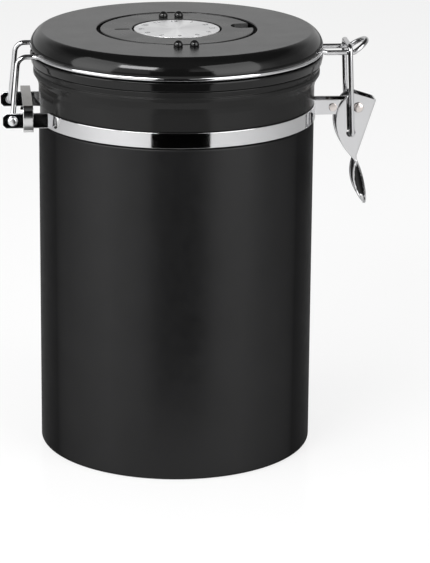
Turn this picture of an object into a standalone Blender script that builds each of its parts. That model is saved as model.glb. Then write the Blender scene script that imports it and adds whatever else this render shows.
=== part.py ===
"""Coffee canister with a clamped lid, in metres, +Z up.

The origin is the centre of the flat base. +X points to the latch and -X to the hinge.
Turned pieces are spun about the Z axis, strips and the lever are swept along their own
paths, and wires are bevelled curves. Every fit between two pieces takes its size from the
piece that it meets and one of the clearances below.
"""

import math

import bmesh
import bpy
from mathutils import Vector

# Clearances and cuts
GAP = 0.0003
RUNNING_GAP = 0.00015
CUT_OVERRUN = 0.001
WELD_DISTANCE = 0.000001
SMOOTH_ANGLE = math.radians(35)
STRAIGHT_HALF_ANGLE = math.radians(89)

# Can
CAN_RADIUS = 0.060
CAN_WALL = 0.0008
CAN_BASE_THICKNESS = 0.0009
FOOT_RADIUS = 0.0015
SHOULDER_HEIGHT = 0.1468
SHOULDER_RADIUS = 0.0008
NECK_STEP = 0.002

# Half bands round the neck
BAND_HEIGHT = 0.0066
BAND_THICKNESS = 0.0008
BAND_PROUD = 0.0006
BAND_ABOVE_SHOULDER = 0.0006
BAND_BEND_RADIUS = 0.0013
EAR_OFFSET = 0.0205
EAR_LENGTH = 0.0195
EAR_CHAMFER = 0.0014
EAR_HOLE_RADIUS = 0.002
EAR_HOLE_INSET = 0.0042
ARM_OFFSET = 0.0037
ARM_END_SWEEP = math.radians(80)

# Collar
COLLAR_HEIGHT = 0.0249
MOUTH_BELOW_COLLAR_TOP = 0.0006
COLLAR_LIP_PROUD = 0.0023
COLLAR_FLARE_PROUD = 0.0031
COLLAR_FLARE_MIDDLE_SHARE = 0.25
COLLAR_TOP_ABOVE_LIP = 0.0051
COLLAR_LIP_HEIGHT = 0.0024
COLLAR_FLARE_HEIGHT = 0.0046
COLLAR_GROOVE_DEPTH = 0.0005
LIP_ROUNDING = 0.0006

# Lid shell
LID_PROUD = 0.0036
LID_TOP_ABOVE_COLLAR = 0.0143
LID_EDGE_WIDTH = 0.005
LID_EDGE_DROP = 0.0072
LID_EDGE_POWER = 1.4
LID_BOTTOM_TAPER = 0.0006
LID_WALL = 0.0022
LID_SIDE_WALL = 0.0048
RECESS_RADIUS = 0.0348
RECESS_DEPTH = 0.0042
RECESS_FLOOR = 0.0022

# Lid wire
WIRE_RADIUS = 0.0011
WIRE_BELOW_LID_SIDE = 0.0013
WIRE_ABOVE_COLLAR = 0.0056
WIRE_GROOVE_GAP = 0.0003
LEG_HALF_SPACING = 0.0147
LEG_TOP_REACH = 0.0057
LEG_BEND_RADIUS = 0.0042
LEG_FOOT_BEND_RADIUS = 0.0014
LEG_LEAVE_BEND_RADIUS = 0.0036
WIRE_HEAD_RADIUS = 0.0021
WIRE_HEAD_HEIGHT = 0.0013
RAIL_HALF_SPACING = 0.0068
RAIL_DROP = 0.0016
RAIL_DROP_LENGTH = 0.0022
RAIL_MEET_BEND_RADIUS = 0.0022
RAIL_BEND_RADIUS = 0.0018
BEND_SPAN_SHARE = 1.5
RAIL_REACH = 0.0132
HOOK_LENGTH = 0.0061
HOOK_RISE = 0.0043

# Lid inside
LINER_CLEARANCE = 0.0004
LINER_THICKNESS = 0.0018
LINER_RISE = 0.0027
GASKET_SEAT_WIDTH = 0.0089
PLUG_DEPTH = 0.0022
GASKET_THICKNESS = 0.0023
GASKET_BEAD_HEIGHT = 0.0006
GASKET_BEAD_WIDTH = 0.003

# Date ring, dial and hub
RING_OUTER_GAP = 0.0016
RING_WIDTH = 0.0137
RING_TONGUE_WIDTH = 0.0072
RING_TONGUE_THICKNESS = 0.0014
RING_BELOW_LID_TOP = 0.0001
POINTER_INSET = 0.0008
POINTER_LENGTH = 0.0068
POINTER_WIDTH = 0.0018
POINTER_DEPTH = 0.0005
POINTER_ANGLE = math.radians(181)
NOTCH_ANGLE = math.radians(7.4)
NOTCH_WIDTH = 0.0096
NOTCH_END_SHARE = 0.7
NOTCH_LENGTH = 0.009
NOTCH_DEPTH = 0.0022
DIAL_CLEARANCE = 0.0009
DIAL_THICKNESS = 0.0007
HUB_STEM_RADIUS = 0.0036
HUB_PLATE_THICKNESS = 0.0010
HUB_STEM_REACH = 0.0022
CLIP_RADIUS = 0.0075
CLIP_THICKNESS = 0.0008
STUD_RADIUS = 0.002
STUD_CENTRE_ABOVE_SEAT = 0.0006
STUD_PIN_RADIUS = 0.0009
STUD_PIN_LENGTH = 0.0012
LID_STUD_OUTSIDE_RECESS = 0.0024
RING_STUD_INSIDE_EDGE = 0.0080
LID_STUD_ANGLES = (math.radians(266.0), math.radians(276.6))
RING_STUD_ANGLES = (math.radians(83.2), math.radians(98.8))

# Valve
VALVE_RADIUS = 0.0095
VALVE_HEIGHT = 0.0042
VALVE_WALL = 0.001
VALVE_HOLE_RADIUS = 0.0012
VALVE_HOLE_CIRCLE = 0.005
VALVE_HOLE_COUNT = 6
VALVE_STEM_RADIUS = 0.006
VALVE_STEM_BORE = 0.0028
VALVE_DISC_RADIUS = 0.0048
VALVE_DISC_THICKNESS = 0.0007
VALVE_GUARD_HEIGHT = 0.0027
FILTER_THICKNESS = 0.0006

# Hinge keeper clip
KEEPER_REACH = 0.0053
KEEPER_WIDTH = 0.0043
KEEPER_THICKNESS = 0.0008
KEEPER_CLEAR_ABOVE = 0.0022
KEEPER_BEND_RADIUS = 0.0026
KEEPER_FOOT_BEND_RADIUS = 0.0009
KEEPER_FOOT_LENGTH = 0.0016
KEEPER_FOOT_DROP = 0.0007

# Latch lever, in the plane of its side: along its web from the top, and in from the web
ARM_REACH = 0.0195
ARM_END_RADIUS = 0.0032
PIVOT_PIN_RADIUS = 0.0015
PIVOT_HEAD_RADIUS = 0.0022
PIVOT_HEAD_HEIGHT = 0.0010
BAND_RIVET_REACH = 0.0084
BAND_RIVET_RADIUS = 0.0011
BAND_RIVET_HEAD_RADIUS = 0.0018
BAND_RIVET_HEAD_HEIGHT = 0.0005
LEVER_THICKNESS = 0.0008
LEVER_TOP_OUTSIDE_PIVOT = 0.0079
LEVER_TOP_ABOVE_PIVOT = 0.003
LEVER_WEB_LEAN = math.radians(18.0)
LEVER_WEB_LENGTH = 0.0262
CHEEK_DEPTH = 0.0149
CHEEK_WIDEST_AT = 0.0088
CHEEK_REACH_UP = 0.0154
CHEEK_REACH_DOWN = 0.0189
CHEEK_ROUNDNESS = 0.7
PINCH_DEPTH = 0.0013
TAB_KICK = 0.0016
TAB_LENGTH = 0.0216
TAB_DEPTH = 0.0049
TAB_ROUNDNESS = 0.7
TAB_LEAN_START = math.radians(27.0)
TAB_LEAN_END = math.radians(2.0)
TAB_CURL_POWER = 0.8
TAB_TIP_RADIUS = 0.0052
TAB_TIP_WIDTH_SHARE = 0.3
LATCH_HOLE_RADIUS = 0.002
LATCH_HOLE_INSIDE_PIVOT = 0.0031
LATCH_HOLE_BELOW_PIVOT = 0.0114

# Latch wire
CROSSBAR_INSIDE_PIVOT = 0.0048
CROSSBAR_LIFT = 0.0007
LATCH_WIRE_GAP = 0.002
LATCH_END_REACH = 0.0043
LATCH_TOP_BEND_RADIUS = 0.0026
LATCH_FOOT_BEND_RADIUS = 0.0013

# Fineness of the faceted solids
LARGE_STEPS = 60
MEDIUM_STEPS = 44
SMALL_STEPS = 20
VALVE_STEPS = 32
SHEET_STEPS = 24
STUD_STEPS = 16
HOLE_STEPS = 12
VENT_STEPS = 10
CORNER_STEPS = 4
DOME_STEPS = 4
SHOULDER_STEPS = 3
INSIDE_CORNER_STEPS = 2
BEND_STEPS = 5
RING_ARC_STEPS = 22
LEVER_STEPS = 16
TAB_STEPS = 12
WIRE_BEVEL_RESOLUTION = 2

# Places that follow from the sizes
NECK_RADIUS = CAN_RADIUS - NECK_STEP
COLLAR_TOP = SHOULDER_HEIGHT + COLLAR_HEIGHT
MOUTH_HEIGHT = COLLAR_TOP - MOUTH_BELOW_COLLAR_TOP
COLLAR_LIP_RADIUS = CAN_RADIUS + COLLAR_LIP_PROUD
COLLAR_FLARE_RADIUS = CAN_RADIUS + COLLAR_FLARE_PROUD
COLLAR_LIP_BOTTOM = COLLAR_TOP - COLLAR_TOP_ABOVE_LIP
LID_RADIUS = CAN_RADIUS + LID_PROUD
LID_TOP = COLLAR_TOP + LID_TOP_ABOVE_COLLAR
LID_FLAT_RADIUS = LID_RADIUS - LID_EDGE_WIDTH
LID_INNER_RADIUS = LID_RADIUS - LID_SIDE_WALL
RING_WIRE_RADIUS = LID_RADIUS - WIRE_BELOW_LID_SIDE
RING_WIRE_HEIGHT = COLLAR_TOP + WIRE_ABOVE_COLLAR
LEG_TOP_X = LID_RADIUS + LEG_TOP_REACH
HOOK_START_X = LID_RADIUS + RAIL_REACH
HOOK_TIP_X = HOOK_START_X + HOOK_LENGTH
LINER_RADIUS = LID_INNER_RADIUS - LINER_CLEARANCE
PLUG_RADIUS = LINER_RADIUS - GASKET_SEAT_WIDTH
KEEPER_X = -CAN_RADIUS - KEEPER_REACH
PIVOT_X = CAN_RADIUS + ARM_REACH
BAND_RIVET_X = CAN_RADIUS + BAND_RIVET_REACH
LEVER_TOP_X = PIVOT_X + LEVER_TOP_OUTSIDE_PIVOT
LATCH_HOLE_X = PIVOT_X - LATCH_HOLE_INSIDE_PIVOT
CROSSBAR_X = PIVOT_X - CROSSBAR_INSIDE_PIVOT
BAND_BOTTOM = SHOULDER_HEIGHT + BAND_ABOVE_SHOULDER
BAND_INNER_RADIUS = CAN_RADIUS + BAND_PROUD - BAND_THICKNESS
BAND_MIDDLE_RADIUS = BAND_INNER_RADIUS + BAND_THICKNESS / 2
BAND_TOP = BAND_BOTTOM + BAND_HEIGHT
BAND_MIDDLE = BAND_BOTTOM + BAND_HEIGHT / 2
EAR_START_X = -math.sqrt(BAND_MIDDLE_RADIUS ** 2 - EAR_OFFSET ** 2)
EAR_END_X = EAR_START_X - EAR_LENGTH
HINGE_X = EAR_END_X + EAR_HOLE_INSET
HINGE = Vector((HINGE_X, 0, BAND_MIDDLE))
EAR_OUTER_Y = EAR_OFFSET + BAND_THICKNESS / 2
EAR_INNER_Y = EAR_OFFSET - BAND_THICKNESS / 2
ARM_OUTER_Y = ARM_OFFSET + BAND_THICKNESS / 2
CHEEK_INNER_Y = ARM_OUTER_Y + GAP
CHEEK_OUTER_Y = CHEEK_INNER_Y + LEVER_THICKNESS
PIVOT = Vector((PIVOT_X, 0, BAND_MIDDLE))
LATCH_HOLE = Vector((LATCH_HOLE_X, 0, BAND_MIDDLE - LATCH_HOLE_BELOW_PIVOT))
LATCH_LEG_Y = CHEEK_OUTER_Y + PIVOT_HEAD_HEIGHT + LATCH_WIRE_GAP + WIRE_RADIUS
RAIL_HEIGHT = RING_WIRE_HEIGHT - RAIL_DROP
CROSSBAR_HEIGHT = RAIL_HEIGHT + 2 * WIRE_RADIUS + CROSSBAR_LIFT
LID_BOTTOM = COLLAR_TOP + GAP
GASKET_BOTTOM = COLLAR_TOP + GAP
GASKET_TOP = GASKET_BOTTOM + GASKET_THICKNESS
LINER_BOTTOM = GASKET_TOP + GAP
LINER_TOP = LINER_BOTTOM + LINER_THICKNESS
RECESS_LEVEL = LID_TOP - RECESS_DEPTH
FLOOR_UNDERSIDE = RECESS_LEVEL - RECESS_FLOOR
RING_RADIUS = RECESS_RADIUS - RING_OUTER_GAP
RING_INNER_RADIUS = RING_RADIUS - RING_WIDTH
RING_TONGUE_RADIUS = RING_INNER_RADIUS - RING_TONGUE_WIDTH
POINTER_START = RING_INNER_RADIUS + POINTER_INSET
NOTCH_START = RING_RADIUS - NOTCH_LENGTH
DIAL_RADIUS = RING_INNER_RADIUS - DIAL_CLEARANCE
LID_STUD_CIRCLE = RECESS_RADIUS + LID_STUD_OUTSIDE_RECESS
RING_STUD_CIRCLE = RING_RADIUS - RING_STUD_INSIDE_EDGE
RING_BOTTOM = RECESS_LEVEL + GAP
RING_TOP = LID_TOP - RING_BELOW_LID_TOP
TONGUE_TOP = RING_BOTTOM + RING_TONGUE_THICKNESS
HUB_PLATE_BOTTOM = TONGUE_TOP + GAP
HUB_PLATE_TOP = HUB_PLATE_BOTTOM + HUB_PLATE_THICKNESS
DIAL_BOTTOM = HUB_PLATE_TOP + GAP
CLIP_TOP = FLOOR_UNDERSIDE - GAP


def clear_scene():
    """Remove every object that the scene holds."""
    for thing in list(bpy.data.objects):
        bpy.data.objects.remove(thing)


def material(name, colour, roughness, metallic=0.0):
    """A Principled material of one colour."""
    made = bpy.data.materials.new(name)
    made.use_nodes = True
    shader = made.node_tree.nodes["Principled BSDF"]
    shader.inputs["Base Color"].default_value = (*colour, 1)
    shader.inputs["Roughness"].default_value = roughness
    shader.inputs["Metallic"].default_value = metallic
    return made


def new_object(name, mesh, finish, place=(0, 0, 0)):
    """Link a mesh as a named object with one material and smooth round faces."""
    thing = bpy.data.objects.new(name, mesh)
    thing.location = place
    bpy.context.scene.collection.objects.link(thing)
    if finish:
        mesh.materials.append(finish)
    mesh.shade_smooth()
    mesh.set_sharp_from_angle(angle=SMOOTH_ANGLE)
    return thing


def mesh_from(bm, name):
    """Turn a bmesh into a mesh whose faces point out."""
    bmesh.ops.remove_doubles(bm, verts=bm.verts, dist=WELD_DISTANCE)
    bmesh.ops.recalc_face_normals(bm, faces=bm.faces)
    mesh = bpy.data.meshes.new(name)
    bm.to_mesh(mesh)
    bm.free()
    return mesh


def spun_mesh(name, profile, steps):
    """Spin a closed (radius, height) outline once round the Z axis."""
    bm = bmesh.new()
    points = [bm.verts.new((radius, 0, height)) for radius, height in profile]
    edges = []
    for first, second in zip(points, points[1:] + points[:1]):
        if first.co.x > 0 or second.co.x > 0:
            edges.append(bm.edges.new((first, second)))
    bmesh.ops.spin(bm, geom=points + edges, cent=(0, 0, 0), axis=(0, 0, 1),
                   steps=steps, angle=2 * math.pi, use_merge=True)
    return mesh_from(bm, name)


def turned(name, profile, finish, steps=MEDIUM_STEPS):
    """A turned piece round the Z axis."""
    return new_object(name, spun_mesh(name, profile, steps), finish)


def arc(centre, radius, start_degrees, end_degrees, steps=BEND_STEPS):
    """Points of an arc in the plane of a profile, both ends included."""
    points = []
    for step in range(steps + 1):
        angle = math.radians(start_degrees + (end_degrees - start_degrees) * step / steps)
        points.append((centre[0] + radius * math.cos(angle), centre[1] + radius * math.sin(angle)))
    return points


def rounded_route(corners, radii, steps=BEND_STEPS):
    """A route through corners, each turned on an arc of its own radius."""
    route = [Vector(corners[0])]
    for before, corner, after, radius in zip(corners, corners[1:], corners[2:], radii[1:]):
        before, corner, after = Vector(before), Vector(corner), Vector(after)
        back, ahead = (before - corner).normalized(), (after - corner).normalized()
        half = back.angle(ahead) / 2
        if radius == 0 or half > STRAIGHT_HALF_ANGLE:
            route.append(corner)
            continue
        centre = corner + (back + ahead).normalized() * (radius / math.sin(half))
        first = corner + back * (radius / math.tan(half)) - centre
        last = corner + ahead * (radius / math.tan(half)) - centre
        turn = first.angle(last)
        for step in range(steps + 1):
            share = step / steps
            spoke = (first * math.sin((1 - share) * turn) + last * math.sin(share * turn)) / math.sin(turn)
            route.append(centre + spoke)
    route.append(Vector(corners[-1]))
    return route


def wire(name, route, finish, place=(0, 0, 0)):
    """A round wire along a route of points, with flat ends."""
    curve = bpy.data.curves.new(name, "CURVE")
    curve.dimensions = "3D"
    curve.bevel_depth = WIRE_RADIUS
    curve.bevel_resolution = WIRE_BEVEL_RESOLUTION
    curve.use_fill_caps = True
    spline = curve.splines.new("POLY")
    spline.points.add(len(route) - 1)
    for point, spot in zip(spline.points, route):
        point.co = (*(spot - Vector(place)), 1)
    curve.materials.append(finish)
    thing = bpy.data.objects.new(name, curve)
    thing.location = place
    bpy.context.scene.collection.objects.link(thing)
    return thing


def cylinder_mesh(name, radius, start, end, steps=SMALL_STEPS):
    """A cylinder between two points."""
    start, end = Vector(start), Vector(end)
    bm = bmesh.new()
    bmesh.ops.create_cone(bm, cap_ends=True, segments=steps, radius1=radius, radius2=radius,
                          depth=(end - start).length)
    turn = (end - start).to_track_quat("Z", "Y").to_matrix().to_4x4()
    bm.transform(turn)
    bmesh.ops.translate(bm, verts=bm.verts, vec=(start + end) / 2)
    return mesh_from(bm, name)


def cut(piece, cutter_mesh):
    """Cut a piece with a closed mesh, which stays as a wire-drawn guide."""
    cutter = new_object(cutter_mesh.name, cutter_mesh, None)
    cutter.hide_render = True
    cutter.display_type = "WIRE"
    cutter.parent = piece
    cutter.matrix_parent_inverse = piece.matrix_basis.inverted()
    modifier = piece.modifiers.new(cutter_mesh.name, "BOOLEAN")
    modifier.operation = "DIFFERENCE"
    modifier.object = cutter


def join_with(piece, other_mesh):
    """Join a closed mesh to a piece by a Boolean union."""
    cut(piece, other_mesh)
    piece.modifiers[-1].operation = "UNION"


def bridge_sections(name, sections):
    """A closed solid through cross-sections that have equally many points."""
    bm = bmesh.new()
    loops = [[bm.verts.new(point) for point in section] for section in sections]
    for loop, following in zip(loops, loops[1:]):
        for index in range(len(loop)):
            ahead = (index + 1) % len(loop)
            bm.faces.new((loop[index], loop[ahead], following[ahead], following[index]))
    bm.faces.new(loops[0])
    bm.faces.new(list(reversed(loops[-1])))
    return mesh_from(bm, name)


def make_body_shell(coat):
    """Drawn can: flat base, straight wall, and a neck that the collar sits on."""
    inner = CAN_RADIUS - CAN_WALL
    neck_inner = NECK_RADIUS - CAN_WALL
    inside_corner = FOOT_RADIUS - CAN_WALL
    shoulder_inside = SHOULDER_RADIUS - CAN_WALL / 2
    profile = [(0, 0)]
    profile += arc((CAN_RADIUS - FOOT_RADIUS, FOOT_RADIUS), FOOT_RADIUS, 270, 360, CORNER_STEPS)
    profile += arc((CAN_RADIUS - SHOULDER_RADIUS, SHOULDER_HEIGHT - SHOULDER_RADIUS),
                   SHOULDER_RADIUS, 0, 90, SHOULDER_STEPS)
    profile += [(NECK_RADIUS, SHOULDER_HEIGHT), (NECK_RADIUS, MOUTH_HEIGHT)]
    profile += [(neck_inner, MOUTH_HEIGHT), (neck_inner, SHOULDER_HEIGHT - CAN_WALL)]
    profile += arc((inner - shoulder_inside, SHOULDER_HEIGHT - CAN_WALL - shoulder_inside),
                   shoulder_inside, 90, 0, INSIDE_CORNER_STEPS)
    profile += arc((inner - inside_corner, CAN_BASE_THICKNESS + inside_corner),
                   inside_corner, 0, -90, INSIDE_CORNER_STEPS)
    profile += [(0, CAN_BASE_THICKNESS)]
    return turned("body_shell", profile, coat, LARGE_STEPS)


def make_rim_collar(plastic):
    """Collar over the neck: groove for the bands, plain skirt, and a flared lip."""
    bore = NECK_RADIUS + GAP
    groove = BAND_INNER_RADIUS - GAP
    skirt_bottom = SHOULDER_HEIGHT + GAP
    step_height = BAND_TOP + GAP
    lip_top = COLLAR_LIP_BOTTOM + COLLAR_LIP_HEIGHT
    flare_start = COLLAR_LIP_BOTTOM - COLLAR_FLARE_HEIGHT
    profile = [(bore, skirt_bottom), (groove, skirt_bottom), (groove, step_height)]
    profile += [(CAN_RADIUS, step_height), (CAN_RADIUS, flare_start)]
    profile += [(CAN_RADIUS + COLLAR_FLARE_MIDDLE_SHARE * COLLAR_LIP_PROUD,
                 (flare_start + COLLAR_LIP_BOTTOM) / 2)]
    profile += arc((COLLAR_LIP_RADIUS - LIP_ROUNDING, COLLAR_LIP_BOTTOM + LIP_ROUNDING),
                   LIP_ROUNDING, 300, 360, INSIDE_CORNER_STEPS)
    profile += [(COLLAR_LIP_RADIUS, lip_top), (COLLAR_LIP_RADIUS - COLLAR_GROOVE_DEPTH, lip_top)]
    profile += [(COLLAR_FLARE_RADIUS - COLLAR_GROOVE_DEPTH, COLLAR_TOP), (bore, COLLAR_TOP)]
    return turned("rim_collar", profile, plastic, LARGE_STEPS)


def band_stations(side):
    """Stations of a half band, each a place and a half height; side is -1 in front, 1 behind."""
    half = BAND_HEIGHT / 2
    turn = BAND_BEND_RADIUS
    arm_start_x = math.sqrt(BAND_MIDDLE_RADIUS ** 2 - ARM_OFFSET ** 2)
    ear_angle = math.acos(EAR_START_X / BAND_MIDDLE_RADIUS)
    arm_angle = math.asin(ARM_OFFSET / BAND_MIDDLE_RADIUS)
    bend_angle = 2 * turn / BAND_MIDDLE_RADIUS
    corners = [(EAR_END_X, EAR_OFFSET, 0), (EAR_START_X, EAR_OFFSET, 0)]
    for step in range(RING_ARC_STEPS + 1):
        swept = (ear_angle - arm_angle - 2 * bend_angle) * step / RING_ARC_STEPS
        angle = ear_angle - bend_angle - swept
        corners.append((BAND_MIDDLE_RADIUS * math.cos(angle), BAND_MIDDLE_RADIUS * math.sin(angle), 0))
    corners += [(arm_start_x, ARM_OFFSET, 0), (PIVOT_X, ARM_OFFSET, 0)]
    radii = [0, turn] + [0] * (RING_ARC_STEPS + 1) + [turn, 0]
    stations = [(spot, half) for spot in rounded_route(corners, radii, SHOULDER_STEPS)]
    ear_end = stations[0][0]
    chamfer_end = ear_end + Vector((EAR_CHAMFER, 0, 0))
    stations = [(ear_end, half - EAR_CHAMFER), (chamfer_end, half)] + stations[1:]
    stations[-1] = (stations[-1][0], min(half, ARM_END_RADIUS))
    for step in range(1, BEND_STEPS + 1):
        angle = ARM_END_SWEEP * step / BEND_STEPS
        spot = Vector((PIVOT_X + ARM_END_RADIUS * math.sin(angle), ARM_OFFSET, 0))
        stations.append((spot, ARM_END_RADIUS * math.cos(angle)))
    return [(Vector((spot.x, side * spot.y, 0)), half_height) for spot, half_height in stations]


def make_band(name, side, steel):
    """Half band: a hinge ear, the arc round the neck, and a latch arm, in one strip."""
    stations = band_stations(side)
    places = [spot for spot, half_height in stations]
    sections = []
    for index, (spot, half_height) in enumerate(stations):
        along = (places[min(index + 1, len(places) - 1)] - places[max(index - 1, 0)]).normalized()
        across = Vector((-along.y, along.x, 0)) * (BAND_THICKNESS / 2)
        low = Vector((0, 0, BAND_MIDDLE - half_height))
        high = Vector((0, 0, BAND_MIDDLE + half_height))
        sections.append((spot - across + low, spot + across + low,
                         spot + across + high, spot - across + high))
    band = new_object(name, bridge_sections(name, sections), steel)
    reach = Vector((0, BAND_THICKNESS / 2 + CUT_OVERRUN, 0))
    for label, x, y, radius in (("ear_hole", HINGE_X, EAR_OFFSET, EAR_HOLE_RADIUS),
                                ("rivet_hole", BAND_RIVET_X, ARM_OFFSET, BAND_RIVET_RADIUS + GAP),
                                ("pivot_hole", PIVOT_X, ARM_OFFSET, PIVOT_PIN_RADIUS + GAP)):
        middle = Vector((x, side * y, BAND_MIDDLE))
        cut(band, cylinder_mesh(f"{name}_{label}", radius, middle - reach, middle + reach))
    return band


def make_keeper(steel):
    """Inverted U strip over both hinge ears, its ends folded in under them."""
    leg_y = EAR_OUTER_Y + GAP + KEEPER_THICKNESS / 2
    top = BAND_TOP + KEEPER_CLEAR_ABOVE + KEEPER_THICKNESS / 2
    foot = BAND_BOTTOM - KEEPER_FOOT_DROP - KEEPER_THICKNESS / 2
    foot_end = leg_y - KEEPER_FOOT_LENGTH
    corners = [(0, -foot_end, foot), (0, -leg_y, foot), (0, -leg_y, top)]
    corners += [(0, leg_y, top), (0, leg_y, foot), (0, foot_end, foot)]
    radii = [0, KEEPER_FOOT_BEND_RADIUS, KEEPER_BEND_RADIUS]
    radii += [KEEPER_BEND_RADIUS, KEEPER_FOOT_BEND_RADIUS]
    route = rounded_route(corners, radii, CORNER_STEPS)
    sections = []
    for index, spot in enumerate(route):
        along = (route[min(index + 1, len(route) - 1)] - route[max(index - 1, 0)]).normalized()
        across = Vector((0, -along.z, along.y)) * (KEEPER_THICKNESS / 2)
        near = Vector((KEEPER_X - KEEPER_WIDTH / 2, 0, 0))
        far = Vector((KEEPER_X + KEEPER_WIDTH / 2, 0, 0))
        sections.append((spot - across + near, spot + across + near,
                         spot + across + far, spot - across + far))
    return new_object("hinge_keeper", bridge_sections("hinge_keeper", sections), steel)


def rivet_profile(pin_radius, grip, head_radius, head_height, dome_steps):
    """Half outline of a rivet along its own axis, with a head at both ends."""
    end = grip + head_height
    if dome_steps == 1:
        head = [(head_radius, grip), (head_radius, end)]
    else:
        sweep = [math.radians(90) * step / dome_steps for step in range(dome_steps)]
        head = [(head_radius * math.cos(angle), grip + head_height * math.sin(angle)) for angle in sweep]
    far = [(pin_radius, grip)] + head + [(0, end)]
    near = [(radius, -height) for radius, height in reversed(far)]
    return near + far


def make_rivet(name, place, profile, steel):
    """A rivet that lies along Y at a place."""
    mesh = spun_mesh(name, profile, SMALL_STEPS)
    rivet = new_object(name, mesh, steel, place)
    rivet.rotation_euler = (math.radians(90), 0, 0)
    return rivet


def make_rivets(steel):
    """The flat rivet of the bands and the domed pivot rivet of the lever."""
    flat = rivet_profile(BAND_RIVET_RADIUS, ARM_OUTER_Y + RUNNING_GAP, BAND_RIVET_HEAD_RADIUS,
                         BAND_RIVET_HEAD_HEIGHT, 1)
    make_rivet("band_rivet", (BAND_RIVET_X, 0, BAND_MIDDLE), flat, steel)
    domed = rivet_profile(PIVOT_PIN_RADIUS, CHEEK_OUTER_Y + RUNNING_GAP, PIVOT_HEAD_RADIUS,
                          PIVOT_HEAD_HEIGHT - RUNNING_GAP, DOME_STEPS)
    make_rivet("lever_rivet", PIVOT, domed, steel)


def cheek_depth(along):
    """Depth of the lever's side at a distance down its web."""
    reach = CHEEK_REACH_UP if along < CHEEK_WIDEST_AT else CHEEK_REACH_DOWN
    share = min(1.0, abs(along - CHEEK_WIDEST_AT) / reach)
    return max(PINCH_DEPTH, CHEEK_DEPTH * (1 - share ** 2) ** CHEEK_ROUNDNESS)


def tab_depth(along):
    """Depth of the thumb tab's turned-in sides at a distance down the tab."""
    share = min(1.0, abs(2 * along / TAB_LENGTH - 1))
    return max(PINCH_DEPTH, TAB_DEPTH * (1 - share ** 2) ** TAB_ROUNDNESS)


def lever_stations():
    """Stations down the lever: place on the web, lean, depth of the sides, half width."""
    lean = LEVER_WEB_LEAN
    spot = Vector((LEVER_TOP_X, 0, BAND_MIDDLE + LEVER_TOP_ABOVE_PIVOT))
    down = Vector((-math.sin(lean), 0, -math.cos(lean)))
    stations = []
    for step in range(LEVER_STEPS + 1):
        along = LEVER_WEB_LENGTH * step / LEVER_STEPS
        stations.append((spot + down * along, lean, cheek_depth(along), CHEEK_OUTER_Y))
    spot = stations[-1][0] + Vector((0, 0, -TAB_KICK))
    for step in range(TAB_STEPS + 1):
        share = step / TAB_STEPS
        along = TAB_LENGTH * share
        curl = share ** TAB_CURL_POWER
        lean = -TAB_LEAN_START + (TAB_LEAN_START - TAB_LEAN_END) * curl
        to_tip = max(0.0, TAB_LENGTH - along)
        inset = max(0.0, TAB_TIP_RADIUS - to_tip) / TAB_TIP_RADIUS
        width = CHEEK_OUTER_Y * max(TAB_TIP_WIDTH_SHARE, math.sqrt(max(0.0, 1 - inset ** 2)))
        stations.append((spot.copy(), lean, tab_depth(along), width))
        spot = spot + Vector((-math.sin(lean), 0, -math.cos(lean))) * (TAB_LENGTH / TAB_STEPS)
    return stations


def lever_section(spot, lean, depth, half_width):
    """U cross-section of the lever: the web outside and a side at each edge."""
    inward = Vector((-math.cos(lean), 0, math.sin(lean)))
    wall = min(LEVER_THICKNESS, half_width / 2)
    points = [(0, -half_width), (depth, -half_width), (depth, wall - half_width)]
    points += [(LEVER_THICKNESS, wall - half_width), (LEVER_THICKNESS, half_width - wall)]
    points += [(depth, half_width - wall), (depth, half_width), (0, half_width)]
    return [spot + inward * into + Vector((0, across, 0)) for into, across in points]


def make_lever(steel):
    """Pressed lever: web and two cheeks, then a curved thumb tab; it turns on its rivet."""
    sections = [lever_section(*station) for station in lever_stations()]
    about_pivot = [[point - PIVOT for point in section] for section in sections]
    lever = new_object("latch_lever", bridge_sections("latch_lever", about_pivot), steel, PIVOT)
    reach = Vector((0, CHEEK_OUTER_Y + CUT_OVERRUN, 0))
    for label, place, radius in (("pivot_bore", PIVOT, PIVOT_PIN_RADIUS + RUNNING_GAP),
                                 ("wire_bore", LATCH_HOLE, LATCH_HOLE_RADIUS)):
        cut(lever, cylinder_mesh(f"lever_{label}", radius, place - reach, place + reach))
    return lever


def make_latch_wire(steel):
    """Inverted U of wire over the lid's rails, its ends in the lever's holes."""
    low, high = LATCH_HOLE.z, CROSSBAR_HEIGHT
    end_y = LATCH_LEG_Y - WIRE_RADIUS - LATCH_END_REACH
    corners = [(LATCH_HOLE_X, -end_y, low), (LATCH_HOLE_X, -LATCH_LEG_Y, low)]
    corners += [(CROSSBAR_X, -LATCH_LEG_Y, high), (CROSSBAR_X, LATCH_LEG_Y, high)]
    corners += [(LATCH_HOLE_X, LATCH_LEG_Y, low), (LATCH_HOLE_X, end_y, low)]
    radii = [0, LATCH_FOOT_BEND_RADIUS, LATCH_TOP_BEND_RADIUS]
    radii += [LATCH_TOP_BEND_RADIUS, LATCH_FOOT_BEND_RADIUS]
    return wire("latch_wire", rounded_route(corners, radii), steel, LATCH_HOLE)


def leaving_x(angle, half_spacing):
    """Where the ring's tangent at an angle meets a straight run at a half spacing."""
    ring = RING_WIRE_RADIUS
    return ring * math.cos(angle) + math.tan(angle) * (ring * math.sin(angle) - half_spacing)


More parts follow.
